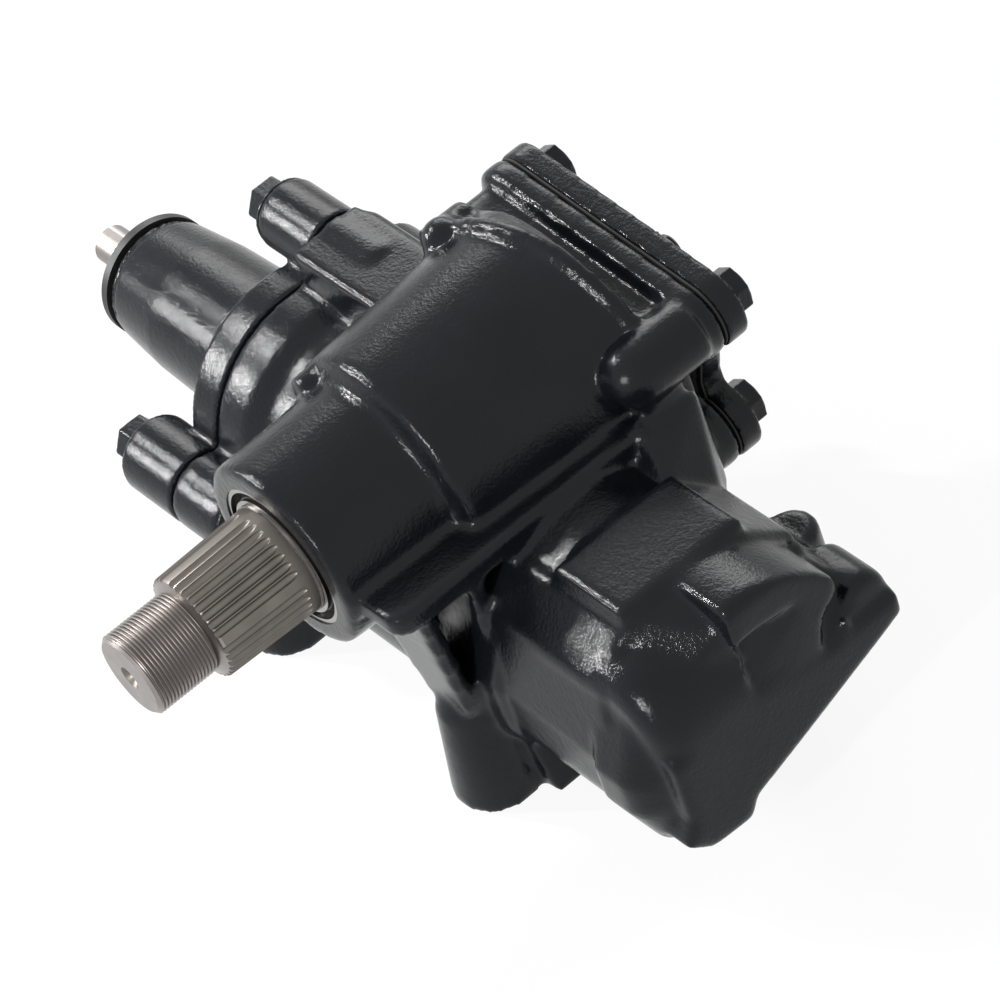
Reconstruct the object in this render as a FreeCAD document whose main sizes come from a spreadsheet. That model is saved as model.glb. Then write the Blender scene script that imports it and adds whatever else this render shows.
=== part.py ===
import FreeCAD, Part
import math
import os
import Sketcher
from FreeCAD import Placement, Rotation, Vector

# Integral power steering gearbox, in millimetres.
# The origin is the middle of the four frame bolt holes, on the mounting face.
# +X runs along the worm towards the closed end, +Y along the sector shaft towards
# the side cover, +Z up from the mounting face. The pitman arm end points to -Y.

document = FreeCAD.newDocument("steering_gearbox")
sheet = document.addObject("Spreadsheet::Sheet", "Sizes")
cell_values = {}
nodes = []


# Driving sizes, written once into the sheet and used through their aliases

SIZES = [
    ("worm_height", 68.0, "worm axis above the mounting face"),
    ("centre_distance", 50.0, "sector shaft axis above the worm axis"),
    ("sector_place", 25.0, "sector shaft axis along X"),
    ("running_gap", 0.05, "radial clearance of a running fit"),
    ("bolt_gap", 0.05, "radial clearance of a screw in its tapped hole"),
    ("part_gap", 0.3, "clearance between pieces that only pass each other"),
    ("piston_radius", 35.0, "rack piston"),
    ("piston_length", 178.0, "rack piston"),
    ("rack_pitch_height", 25.0, "rack pitch line above the worm axis"),
    ("tooth_size", 5.0, "module of rack and sector teeth"),
    ("tooth_width", 44.0, "sector teeth along the sector axis"),
    ("tooth_angle", 25.0, "pressure angle"),
    ("worm_lead", 9.24, "worm travel in one turn"),
    ("worm_radius", 11.5, "outside of the worm"),
    ("ball_radius", 3.175, "recirculating ball"),
    ("ball_circle", 12.0, "radius of the ball centres"),
    ("cylinder_radius", 46.5, "outside of the piston cylinder"),
    ("joint_place", -81.0, "joint of valve housing and main housing along X"),
    ("closed_end", 175.0, "end face of the closed end along X"),
    ("body_half_width", 58.7, "lower body to each side of the worm axis"),
    ("body_floor", 18.0, "underside of the lower body above the mounting face"),
    ("flange_radius", 49.5, "round flange at the valve joint"),
    ("bolt_circle", 59.0, "radius of the valve housing bolt circle"),
    ("valve_bolt_turn", 62.3, "first valve bolt, degrees from +Y towards +Z"),
    ("valve_bolt_step", 119.5, "from the first valve bolt to the second, degrees"),
    ("valve_flange", 15.5, "valve housing flange thickness"),
    ("valve_boss_length", 32.0, "valve bolt boss from the joint to the bolt seat"),
    ("valve_boss_radius", 14.3, "valve bolt boss"),
    ("valve_nose", 103.5, "valve housing from the joint to its rim"),
    ("valve_rim_radius", 25.0, "valve housing at its rim"),
    ("valve_root_radius", 30.0, "valve housing at its flange"),
    ("stub_reach", 139.0, "input stub end from the joint"),
    ("stub_radius", 7.9, "splined end of the input stub"),
    ("stub_flat", 7.78, "narrow flat on the input stub above its axis"),
    ("input_radius", 9.0, "input shaft in its bearing and seal"),
    ("spool_radius", 14.0, "rotary spool"),
    ("boss_face", -84.5, "pitman end face of the housing along Y"),
    ("boss_radius", 38.3, "pitman end boss at its face"),
    ("boss_root_radius", 39.5, "pitman end boss at the tower"),
    ("tower_front", -36.5, "front shoulder of the tower along Y"),
    ("tower_radius", 48.0, "tower at its front shoulder"),
    ("tower_back_radius", 53.0, "tower at the cover flange"),
    ("tower_back", 52.0, "back of the round tower along Y"),
    ("flange_front", 66.5, "front of the cover flange along Y"),
    ("cover_joint", 76.5, "joint of cover and housing along Y"),
    ("cover_thickness", 9.6, "side cover at its bolts"),
    ("cover_turn", -5.7, "turn of the cover bolt pattern about the sector axis"),
    ("cover_bolt_wide", 95.0, "upper pair of cover bolts"),
    ("cover_bolt_narrow", 76.0, "lower pair of cover bolts"),
    ("cover_bolt_rise", 19.2, "upper pair above the sector axis"),
    ("cover_bolt_drop", 47.6, "lower pair below the sector axis"),
    ("cover_boss_radius", 14.6, "round corner at each cover bolt"),
    ("journal_radius", 22.5, "sector shaft in its bearing and seal"),
    ("rear_journal_radius", 15.0, "sector shaft in the side cover"),
    ("spline_length", 40.5, "pitman arm spline beyond the boss face"),
    ("spline_inner_radius", 22.2, "spline at the housing"),
    ("spline_outer_radius", 21.2, "spline at its outer end"),
    ("spline_depth", 1.7, "height of a spline tooth"),
    ("stub_thread_length", 27.0, "thread for the pitman nut"),
    ("stub_thread_radius", 16.7, "thread for the pitman nut"),
    ("shaft_reach", 69.3, "sector shaft tip beyond the boss face"),
    ("seal_bore", 29.3, "radius of the seal bore"),
    ("seal_depth", 20.5, "depth of the seal bore"),
    ("bearing_bore", 28.0, "radius of the needle bearing bore"),
    ("bearing_length", 26.0, "needle bearing"),
    ("sector_cavity", 33.0, "radius of the chamber round the sector teeth"),
    ("opening_radius", 32.0, "opening under the side cover"),
    ("opening_drop", 8.0, "opening centre below the sector axis"),
    ("bolt_radius", 5.0, "M10 screw"),
    ("bolt_head", 16.0, "across the flats of an M10 head"),
    ("bolt_head_height", 7.5, "M10 head"),
    ("bolt_washer", 9.0, "washer face of a cover screw"),
    ("valve_bolt_head", 17.0, "across the flats of a valve housing screw"),
    ("valve_bolt_height", 13.4, "valve housing screw head with its washer"),
    ("valve_bolt_washer", 13.6, "washer face of a valve housing screw"),
    ("foot_spacing_x", 126.0, "frame bolt holes along X"),
    ("foot_spacing_y", 111.0, "frame bolt holes along Y"),
    ("foot_radius", 17.8, "round mounting foot at its face"),
    ("foot_top", 46.0, "shoulder of a mounting foot above its face"),
    ("foot_hole", 7.0, "radius of a frame bolt hole"),
    ("foot_hole_depth", 28.0, "depth of a frame bolt hole"),
    ("ledge_reach", 61.0, "parting ledge from the sector axis"),
    ("ledge_thickness", 10.0, "parting ledge"),
    ("port_radius", 8.0, "tapped hole of a hose port"),
    ("port_depth", 15.0, "tapped hole of a hose port"),
]


class Size:
    """A length that keeps the sheet expression it came from."""

    def __init__(self, value, text):
        self.value = value
        self.text = text

    def joined(self, other, sign, value):
        return Size(value, "(" + self.text + " " + sign + " " + other.text + ")")

    def __add__(self, other):
        other = size(other)
        return self.joined(other, "+", self.value + other.value)

    def __sub__(self, other):
        other = size(other)
        return self.joined(other, "-", self.value - other.value)

    def __mul__(self, other):
        other = size(other)
        return self.joined(other, "*", self.value * other.value)

    def __truediv__(self, other):
        other = size(other)
        return self.joined(other, "/", self.value / other.value)

    def __radd__(self, other):
        return size(other) + self

    def __rsub__(self, other):
        return size(other) - self

    def __rmul__(self, other):
        return size(other) * self

    def __neg__(self):
        return size(0) - self


def size(item):
    if isinstance(item, Size):
        return item
    return Size(float(item), "(" + str(round(float(item), 6)) + ")")


def cosine(angle):
    return Size(math.cos(math.radians(angle.value)), "cos(" + angle.text + ")")


def sine(angle):
    return Size(math.sin(math.radians(angle.value)), "sin(" + angle.text + ")")


def fill_sheet():
    for row, (alias, value, note) in enumerate(SIZES, start=1):
        sheet.set("A" + str(row), note)
        sheet.set("B" + str(row), str(value))
        sheet.setAlias("B" + str(row), alias)
        cell_values[alias] = value
    document.recompute()


def of(alias):
    return Size(cell_values[alias], "Sizes." + alias)


# Building helpers, each one object of the document with its sizes bound to the sheet

ALONG = {
    "X": Rotation(Vector(0, 1, 0), Vector(0, 0, 1), Vector(1, 0, 0)),
    "Y": Rotation(Vector(0, 0, 1), Vector(1, 0, 0), Vector(0, 1, 0)),
    "Z": Rotation(),
}
TURNED = {
    "X": Rotation(),
    "Y": Rotation(Vector(0, 0, 1), 90),
    "Z": Rotation(Vector(0, 1, 0), -90),
}


def place(item, start, rotation):
    start = [size(number) for number in start]
    item.Placement = Placement(Vector(*[number.value for number in start]), rotation)
    for letter, number in zip("xyz", start):
        item.setExpression("Placement.Base." + letter, number.text)
    return item


def bind(item, **properties):
    for name, number in properties.items():
        item.setExpression(name, size(number).text)
    return item


def cylinder(name, axis, start, radius, length):
    item = document.addObject("Part::Cylinder", name)
    bind(item, Radius=radius, Height=length)
    return place(item, start, ALONG[axis])


def cone(name, axis, start, first_radius, last_radius, length):
    item = document.addObject("Part::Cone", name)
    bind(item, Radius1=first_radius, Radius2=last_radius, Height=length)
    return place(item, start, ALONG[axis])


def hexagon(name, axis, start, across_flats, length):
    item = document.addObject("Part::Prism", name)
    item.Polygon = 6
    bind(item, Circumradius=size(across_flats) / math.sqrt(3), Height=length)
    return place(item, start, ALONG[axis])


def block(name, corner, extent):
    item = document.addObject("Part::Box", name)
    bind(item, Length=extent[0], Width=extent[1], Height=extent[2])
    return place(item, corner, Rotation())


def ball(name, centre, radius):
    item = document.addObject("Part::Sphere", name)
    bind(item, Radius=radius)
    return place(item, centre, Rotation())


def roller(name, start, radius, length, lay):
    """Bearing roller with eight sides, which touches its races at its corners."""
    item = document.addObject("Part::Prism", name)
    item.Polygon = 8
    bind(item, Circumradius=radius, Height=length)
    return place(item, start, lay)


def fuse(name, items):
    item = document.addObject("Part::MultiFuse", name)
    item.Shapes = items
    return item


def fuse_in_turn(name, items):
    """Join many overlapping forms one after another, which keeps faces sound."""
    joined = items[0]
    for number, item in enumerate(items[1:]):
        step = document.addObject("Part::Fuse", name + "_" + str(number))
        step.Base = joined
        step.Tool = item
        joined = step
    return joined


def cut(name, base, tools):
    item = document.addObject("Part::Cut", name)
    item.Base = base
    item.Tool = tools[0] if len(tools) == 1 else fuse(name + "_tools", tools)
    return item


def group(name, items):
    item = document.addObject("Part::Compound", name)
    item.Links = items
    return item


def origin_plane(body, role):
    return next(item for item in body.Origin.OriginFeatures if item.Role == role)


def pin_corner(sketch, line, kind, axis_line, number):
    if number.text == "(0.0)":
        sketch.addConstraint(Sketcher.Constraint("PointOnObject", line, 1, axis_line))
        return
    index = sketch.addConstraint(Sketcher.Constraint(kind, line, 1, number.value))
    sketch.setExpression("Constraints[" + str(index) + "]", number.text)


def outline(body, name, points):
    sketch = body.newObject("Sketcher::SketchObject", name)
    sketch.AttachmentSupport = [(origin_plane(body, "XY_Plane"), "")]
    sketch.MapMode = "FlatFace"
    points = [(size(first), size(second)) for first, second in points]
    corners = [Vector(first.value, second.value, 0) for first, second in points]
    count = len(corners)
    for line in range(count):
        segment = Part.LineSegment(corners[line], corners[(line + 1) % count])
        sketch.addGeometry(segment, False)
    for line in range(count):
        joint = Sketcher.Constraint("Coincident", line, 2, (line + 1) % count, 1)
        sketch.addConstraint(joint)
    for line, (first, second) in enumerate(points):
        pin_corner(sketch, line, "DistanceX", -2, first)
        pin_corner(sketch, line, "DistanceY", -1, second)
    return sketch


def turned(name, axis, start, profile):
    """Revolve a closed profile of (along, radius) points about an axis."""
    body = document.addObject("PartDesign::Body", name)
    sketch = outline(body, name + "_profile", profile)
    turn = body.newObject("PartDesign::Revolution", name + "_turn")
    turn.Profile = sketch
    turn.ReferenceAxis = (sketch, ["H_Axis"])
    turn.Angle = 360
    return place(body, start, TURNED[axis])


def padded(name, axis, start, points, length, rounds=()):
    """Pad a closed outline along an axis and round chosen edges.

    The points are (y, z), (z, x) or (x, y) for the axis X, Y or Z. Each round is
    a radius and a test that picks edges of the pad by their middle point.
    """
    body = document.addObject("PartDesign::Body", name)
    pad = body.newObject("PartDesign::Pad", name + "_pad")
    pad.Profile = outline(body, name + "_outline", points)
    bind(pad, Length=length)
    body.Tip = pad
    for number, (radius, wanted) in enumerate(rounds):
        document.recompute()
        base = body.Tip
        chosen = []
        for index, edge in enumerate(base.Shape.Edges, start=1):
            middle = edge.valueAt((edge.FirstParameter + edge.LastParameter) / 2)
            direction = edge.tangentAt((edge.FirstParameter + edge.LastParameter) / 2)
            if wanted(middle, direction):
                chosen.append("Edge" + str(index))
        soft = body.newObject("PartDesign::Fillet", name + "_round_" + str(number))
        soft.Base = (base, chosen)
        bind(soft, Radius=radius)
        body.Tip = soft
    return place(body, start, ALONG[axis])


def node(label, item):
    item.Label = label
    nodes.append(item)
    return item


def ring(name, axis, start, inner, outer, length):
    profile = [(0, inner), (length, inner), (length, outer), (0, outer)]
    return turned(name, axis, start, profile)


def lengthwise(middle, direction):
    return abs(direction.z) > 0.99


def crosswise(middle, direction):
    return abs(direction.z) < 0.01


fill_sheet()

worm_height = of("worm_height")
sector_place = of("sector_place")
sector_height = worm_height + of("centre_distance")
joint_place = of("joint_place")
closed_end = of("closed_end")
boss_face = of("boss_face")
cover_joint = of("cover_joint")
running_gap = of("running_gap")
part_gap = of("part_gap")
bolt_gap = of("bolt_gap")
bolt_radius = of("bolt_radius")
half_width = of("body_half_width")

valve_bolt_angles = [
    of("valve_bolt_turn"),
    of("valve_bolt_turn") + of("valve_bolt_step"),
    of("valve_bolt_turn") + 180,
    of("valve_bolt_turn") + of("valve_bolt_step") + 180,
]
valve_bolt_centres = [
    (
        of("bolt_circle") * cosine(angle),
        worm_height + of("bolt_circle") * sine(angle),
    )
    for angle in valve_bolt_angles
]


def turned_with_cover(across, up):
    """A point of the cover pattern, given square to it, in X and Z."""
    turn = of("cover_turn")
    along = across * cosine(turn) - up * sine(turn)
    rise = across * sine(turn) + up * cosine(turn)
    return sector_place + along, sector_height + rise


cover_bolt_centres = [
    turned_with_cover(-(of("cover_bolt_wide") / 2), of("cover_bolt_rise")),
    turned_with_cover(of("cover_bolt_wide") / 2, of("cover_bolt_rise")),
    turned_with_cover(of("cover_bolt_narrow") / 2, -of("cover_bolt_drop")),
    turned_with_cover(-(of("cover_bolt_narrow") / 2), -of("cover_bolt_drop")),
]


def cover_outline(name, start, radius, length):
    """Four round bosses with straight edges above and below and waisted sides."""
    left_top, right_top, right_low, left_low = cover_bolt_centres
    rise = (0 - radius * sine(of("cover_turn")), radius * cosine(of("cover_turn")))
    web = [
        (left_top[0] + rise[0], left_top[1] + rise[1]),
        (right_top[0] + rise[0], right_top[1] + rise[1]),
        right_top,
        (right_low[0] + 0.5, right_low[1] + 22),
        right_low,
        (right_low[0] - rise[0], right_low[1] - rise[1]),
        (left_low[0] - rise[0], left_low[1] - rise[1]),
        left_low,
    ]
    corners = [(up, along) for along, up in web]
    pieces = [padded(name + "_web", "Y", (0, start, 0), corners, length)]
    for number, (along, up) in enumerate(cover_bolt_centres):
        pieces.append(cylinder(
            name + "_corner_" + str(number), "Y", (along, start, up), radius, length,
        ))
    return fuse(name, pieces)


# Main housing: one iron casting with the piston cylinder, the cross tower of the
# sector shaft, the pitman end boss, the parting ledge with its ribs and four feet

piston_bore = of("piston_radius") + running_gap
bore_end = closed_end - 22
barrel_radius = of("cylinder_radius")
barrel_end = closed_end - 31
seam_place = closed_end - 29
pad_place = closed_end - 68
tower_half = of("tower_radius")
tower_front = of("tower_front")
ledge_edge = sector_place + of("ledge_reach")
ledge_low = sector_height - of("ledge_thickness")
foot_x = of("foot_spacing_x") / 2
foot_y = of("foot_spacing_y") / 2
foot_radius = of("foot_radius")
foot_top = of("foot_top")
body_drop = of("body_floor") - worm_height


def barrel_end_form(name, start, width, profile, rounds):
    """A slice of the closed end: its profile in height and depth, kept in the barrel."""
    both = document.addObject("Part::Common", name)
    both.Base = padded(
        name + "_slice", "Y", (closed_end, start, worm_height), profile, width, rounds,
    )
    both.Tool = cylinder(
        name + "_barrel", "X", (barrel_end - 4, 0, worm_height), barrel_radius, 35,
    )
    return both


def between(first, second):
    return (first, second) if first < second else (second, first)


def drafted(name, corner, base, top, height):
    """Block that leans in or out from its base to its top, each (x, x, y, y)."""
    item = document.addObject("Part::Wedge", name)
    bind(
        item, Ymin=0, Ymax=height,
        Xmin=base[0], Xmax=base[1], Zmin=0 - size(base[3]), Zmax=0 - size(base[2]),
        X2min=top[0], X2max=top[1], Z2min=0 - size(top[3]), Z2max=0 - size(top[2]),
    )
    upright = Rotation(Vector(1, 0, 0), Vector(0, 0, 1), Vector(0, -1, 0))
    return place(item, corner, upright)


# The barrel with the joint flange, the square block and the lifting tab beside it
barrel_forms = [
    cylinder(
        "cylinder_form", "X", (joint_place, 0, worm_height),
        barrel_radius, barrel_end - joint_place,
    ),
    cylinder(
        "joint_flange_form", "X", (joint_place, 0, worm_height), of("flange_radius"), 16,
    ),
    cone(
        "joint_flange_slope", "X", (joint_place + 16, 0, worm_height),
        of("flange_radius"), barrel_radius, 10,
    ),
    block(
        "valve_side_block_form", (joint_place, 8, worm_height + 22), (62, 32, 43),
    ),
    block("lifting_tab_form", (joint_place + 7, 34, worm_height + 32), (37, 9, 31.5)),
    padded(
        "shoulder_form", "X", (sector_place + 35, 0, worm_height),
        [
            (-46, 12), (-46, 24), (-29, 39.5), (29, 39.5), (46, 24), (46, 12),
        ],
        seam_place - sector_place - 35,
        [(5, lambda middle, direction: (
            lengthwise(middle, direction) and 20 < middle.y < 30
        ))],
    ),
    padded(
        "top_pad_form", "X", (pad_place, 0, worm_height),
        [(-28, 36), (-28, 47.3), (28, 47.3), (28, 36)],
        seam_place - pad_place,
        [(2, lambda middle, direction: middle.y > 47)],
    ),
]

# The lower body between the feet, and the lobes, ear and flat plate of the closed end
end_forms = [
    padded(
        "lower_body_form", "X", (-62, 0, worm_height),
        [
            (-46, 20), (4 - half_width, -8), (4 - half_width, body_drop + 1),
            (half_width, body_drop + 1), (half_width, -8), (46, 20),
        ],
        148,
        [
            (24, lambda middle, direction: (
                lengthwise(middle, direction) and middle.y < -20 and middle.x < 0
            )),
            (7, lambda middle, direction: (
                lengthwise(middle, direction) and middle.y < -20 and middle.x > 0
            )),
        ],
    ),
    padded(
        "rear_body_form", "X", (84, 0, worm_height),
        [
            (-46, 20), (6.2 - half_width, -8), (6.2 - half_width, body_drop + 3),
            (half_width, body_drop + 3), (half_width, -8), (46, 20),
        ],
        seam_place - 84,
        [
            (23, lambda middle, direction: (
                lengthwise(middle, direction) and middle.y < -20 and middle.x < 0
            )),
            (7, lambda middle, direction: (
                lengthwise(middle, direction) and middle.y < -20 and middle.x > 0
            )),
        ],
    ),
    padded(
        "end_body_form", "X", (closed_end - 35, 0, worm_height),
        [
            (-44, 18), (3 - half_width, -8), (3 - half_width, -23), (-47, -44), (-16, -48),
            (38, -28), (56, -20), (57, 0), (44, 18),
        ],
        26,
        [(12, lambda middle, direction: crosswise(middle, direction) and middle.z > 25)],
    ),
    padded(
        "front_lobe_form", "Y", (closed_end, -45, worm_height),
        [(-34, -35), (-34, 0), (33, 0), (33, -35)],
        40,
        [
            (27, lambda middle, direction: (
                lengthwise(middle, direction) and middle.x > 30 and middle.y > -1
            )),
            (12, lambda middle, direction: (
                middle.z < 1 and middle.x > -30 and middle.y > -34
            )),
        ],
    ),
    barrel_end_form(
        "rear_lobe_form", -6, 45, [(-16, -35), (-16, -0.4), (46.6, -0.4), (46.6, -35)],
        [(5, lambda middle, direction: (
            lengthwise(middle, direction) and middle.x > 46 and middle.y > -1
        ))],
    ),
    padded(
        "end_plate_form", "X", (closed_end - 25, 0, worm_height),
        [
            (-44, 3), (-4.5, 4), (25.5, -1), (61.5, -1), (61, -11), (47.5, -16),
            (4.5, -31), (-15.5, -37.5), (-20.5, -45), (-39.5, -43.5), (-48.5, -36),
            (-44, -26),
        ],
        25,
        [(2.5, lambda middle, direction: crosswise(middle, direction) and middle.z > 24)],
    ),
    padded(
        "end_ear_form", "X", (seam_place, 0, worm_height),
        [(20, -10), (60.5, -10), (60.5, 13.5), (45, 12.5), (31, -2.5)],
        26,
        [
            (10, lambda middle, direction: (
                lengthwise(middle, direction) and middle.x > 60 and middle.y > 13
            )),
            (4, lambda middle, direction: crosswise(middle, direction) and middle.z > 25),
        ],
    ),
    cylinder(
        "rear_lug_form", "Z", (closed_end - 44, 52, worm_height - 18), 10.5, 30,
    ),
]

# The cross tower from the pitman end boss to the cover flange, with its curved rib
tower_rib = document.addObject("Part::Cylinder", "tower_rib_form")
bind(tower_rib, Radius=of("tower_back_radius") + 3.5, Height=5.5, Angle=180)
upper_half = Rotation(Vector(-1, 0, 0), Vector(0, 0, 1), Vector(0, 1, 0))
tower_rib_lean = Rotation(Vector(0, 0, 1), 11)
tower_forms = [
    cone(
        "pitman_boss_form", "Y", (sector_place, boss_face, sector_height),
        of("boss_radius"), of("boss_root_radius"), tower_front - boss_face,
    ),
    cone(
        "tower_shoulder_form", "Y", (sector_place, tower_front, sector_height),
        of("boss_root_radius"), of("tower_radius"), 4,
    ),
    cone(
        "tower_form", "Y", (sector_place, tower_front + 4, sector_height),
        of("tower_radius"), of("tower_back_radius"), of("tower_back") - tower_front - 4,
    ),
    block(
        "tower_base_form", (sector_place - tower_half, tower_front + 4, worm_height - 8),
        (
            tower_half * 2, of("flange_front") - tower_front - 4,
            of("centre_distance") + 8,
        ),
    ),
    drafted(
        "boss_web_form", (sector_place, 0, worm_height - 18), (-24, 24, -46, -20),
        (-30, 30, -70, -20), of("centre_distance") + 8,
    ),
    cover_outline(
        "cover_flange_inset_form", of("tower_back") - 1,
        of("cover_boss_radius") - 5, of("flange_front") - of("tower_back") + 2,
    ),
    cover_outline(
        "cover_flange_form", of("flange_front"),
        of("cover_boss_radius"), cover_joint - of("flange_front"),
    ),
    place(
        tower_rib, (sector_place, of("tower_back") - 11, sector_height),
        tower_rib_lean * upper_half,
    ),
    cylinder(
        "tower_lug_form", "Y",
        (sector_place - 38, 30, sector_height + 35), 9, 20,
    ),
    cylinder(
        "nub_form", "Y",
        (sector_place - 27, -43, sector_height + 30), 6.5, 30,
    ),
]

# The parting ledge, its two drafted ribs and the drafted feet
foot_forms = [
    padded(
        "ledge_form", "Z", (0, 0, ledge_low),
        [
            (sector_place, boss_face + 4), (ledge_edge, boss_face + 4),
            (ledge_edge, 42), (sector_place, 42),
        ],
        of("ledge_thickness"),
        [(8, lambda middle, direction: (
            lengthwise(middle, direction) and middle.x > 60 and middle.y < 0
        ))],
    ),
    cylinder("ledge_lug_form", "Y", (sector_place + 50, 38, sector_height + 2), 11, 18),
    drafted(
        "front_rib_form", (foot_x, 0, foot_top), (-13, 12, -63, -56.5),
        (-18, 20, -71, -63.5), ledge_low - foot_top + 1,
    ),
    drafted(
        "middle_rib_form", (foot_x, 0, foot_top), (-13, 12, -50, -44),
        (-18, 23, -49.5, -42), ledge_low - foot_top + 1,
    ),
    drafted(
        "left_rib_form", (0 - foot_x, 0, foot_top), (-12, 13, -58, -52),
        (-8, 13, -46, -38), 36,
    ),
]

for number, (across, up) in enumerate(valve_bolt_centres):
    barrel_forms.append(cylinder(
        "valve_bolt_form_" + str(number), "X", (joint_place, across, up),
        of("valve_boss_radius") + 1.5 * (number % 2), 30,
    ))

FEET = [(1, -1), (-1, -1), (-1, 1), (1, 1)]
for number, (side, end) in enumerate(FEET):
    foot_forms.append(turned(
        "foot_form_" + str(number), "Z", (foot_x * side, foot_y * end, 0),
        [
            (0, 0), (0, foot_radius), (foot_top - 3, foot_radius - 5.4),
            (foot_top + 2, foot_radius - 8), (foot_top + 4.5, foot_radius - 12),
            (foot_top + 4.5, 0),
        ],
    ))
    inward = between(-8 * end, -36 * end)
    foot_forms.append(drafted(
        "foot_web_" + str(number), (foot_x * side, foot_y * end, 0),
        (-17, 21.25 + 4.25 * side) + inward, (-11 - side, 11 + side) + inward, foot_top,
    ))

housing_cuts = [
    cylinder(
        "piston_bore_cut", "X", (joint_place - 1, 0, worm_height),
        piston_bore, bore_end - joint_place + 1,
    ),
    cylinder(
        "sector_chamber_cut", "Y", (sector_place, -30, sector_height),
        of("sector_cavity"), 60,
    ),
    cylinder(
        "cover_opening_cut", "Y",
        (sector_place, 20, sector_height - of("opening_drop")),
        of("opening_radius"), cover_joint - 19,
    ),
    cylinder(
        "bearing_bore_cut", "Y", (sector_place, boss_face - 1, sector_height),
        of("bearing_bore"), 55.5,
    ),
    cylinder(
        "seal_bore_cut", "Y", (sector_place, boss_face - 1, sector_height),
        of("seal_bore"), of("seal_depth") + 1,
    ),
    padded(
        "front_recess_cut", "X", (closed_end - 9, 0, worm_height),
        [(-5.5, 5), (11, 5), (17, 9), (25, 28.5), (-5.5, 29.5)], 10,
        [(3, lengthwise)],
    ),
    padded(
        "rear_recess_cut", "X", (closed_end - 16, 0, worm_height),
        [
            (25, -1.5), (33, -1.5), (46, 13), (50.5, 14.5), (64, 14.5), (64, 26),
            (44, 26), (41, 21.5), (30, 12),
        ],
        17,
    ),
]
for number, (across, up) in enumerate(valve_bolt_centres):
    housing_cuts.append(cylinder(
        "valve_bolt_hole_" + str(number), "X", (joint_place - 1, across, up),
        bolt_radius + bolt_gap, 27,
    ))
for number, (along, up) in enumerate(cover_bolt_centres):
    housing_cuts.append(cylinder(
        "cover_bolt_hole_" + str(number), "Y", (along, cover_joint - 24, up),
        bolt_radius + bolt_gap, 30,
    ))
for number, (side, end) in enumerate(FEET):
    housing_cuts.append(cylinder(
        "frame_bolt_hole_" + str(number), "Z", (foot_x * side, foot_y * end, -1),
        of("foot_hole"), of("foot_hole_depth") + 1,
    ))
housing_casting = fuse_in_turn("housing_casting", [
    fuse("barrel_casting", barrel_forms),
    fuse("end_casting", end_forms),
    fuse_in_turn("tower_casting", tower_forms),
    fuse("foot_casting", foot_forms),
])
node("main_housing", cut("main_housing_solid", housing_casting, housing_cuts))


# Valve housing: a turned and cast body with a round flange, four bolt bosses and
# two tapped hose ports on its lower side

valve_rim = joint_place - of("valve_nose")
valve_shoulder = joint_place - 24
seat_place = joint_place - of("valve_boss_length")
pilot_length = 8

valve_forms = [
    turned(
        "valve_body_form", "X", (joint_place, 0, worm_height),
        [
            (-of("valve_nose"), 0), (-of("valve_nose"), of("valve_rim_radius") - 0.6),
            (0.6 - of("valve_nose"), of("valve_rim_radius")),
            (-74, of("valve_root_radius") - 2), (-19, of("valve_root_radius")),
            (-10, of("valve_root_radius") + 2),
            (pilot_length, of("valve_root_radius") + 2), (pilot_length, 0),
        ],
    ),
    cylinder(
        "valve_flange_form", "X", (joint_place - of("valve_flange"), 0, worm_height),
        of("flange_radius"), of("valve_flange"),
    ),
    cylinder(
        "valve_pilot_form", "X", (joint_place - 1, 0, worm_height),
        piston_bore - bolt_gap, pilot_length + 1,
    ),
]
for number, (across, up) in enumerate(valve_bolt_centres):
    valve_forms.append(cylinder(
        "valve_boss_" + str(number), "X", (seat_place, across, up),
        of("valve_boss_radius") + 1.5 * (number % 2), of("valve_boss_length"),
    ))
for number, along in enumerate([-129, -159]):
    valve_forms.append(cylinder(
        "port_boss_" + str(number), "Z", (along, 0, worm_height - 39), 13, 39,
    ))
valve_cuts = [
    cylinder(
        "thrust_bore_cut", "X", (valve_shoulder, 0, worm_height), 27, 60,
    ),
    cylinder(
        "sleeve_bore_cut", "X", (-160, 0, worm_height), 21, 80,
    ),
    cylinder(
        "input_bearing_bore_cut", "X", (valve_rim - 1, 0, worm_height), 14, 50,
    ),
    cylinder(
        "input_seal_bore_cut", "X", (valve_rim - 1, 0, worm_height), 17, 11,
    ),
    ring(
        "rim_groove_cut", "X", (valve_rim + 0.8, 0, worm_height),
        of("valve_rim_radius") - 2, of("valve_rim_radius") + 2, 2,
    ),
    ring(
        "pilot_groove_cut", "X", (joint_place + 2, 0, worm_height),
        piston_bore - bolt_gap - 2, piston_bore + 2, 3,
    ),
]
for number, (across, up) in enumerate(valve_bolt_centres):
    valve_cuts.append(cylinder(
        "valve_clearance_hole_" + str(number), "X", (seat_place - 1, across, up),
        bolt_radius + bolt_gap, of("valve_boss_length") + 2,
    ))
for number, along in enumerate([-129, -159]):
    valve_cuts.append(cylinder(
        "port_hole_" + str(number), "Z", (along, 0, worm_height - 40),
        of("port_radius"), of("port_depth") + 1,
    ))
    valve_cuts.append(cylinder(
        "port_drilling_" + str(number), "Z", (along, 0, worm_height - 40), 4, 30,
    ))
node(
    "valve_housing",
    cut("valve_housing_solid", fuse("valve_casting", valve_forms), valve_cuts),
)


# Screws: a hexagon head with a thin washer face and a plain shank, both measured
# from the seat, so that one function makes the valve and the cover screws


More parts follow.
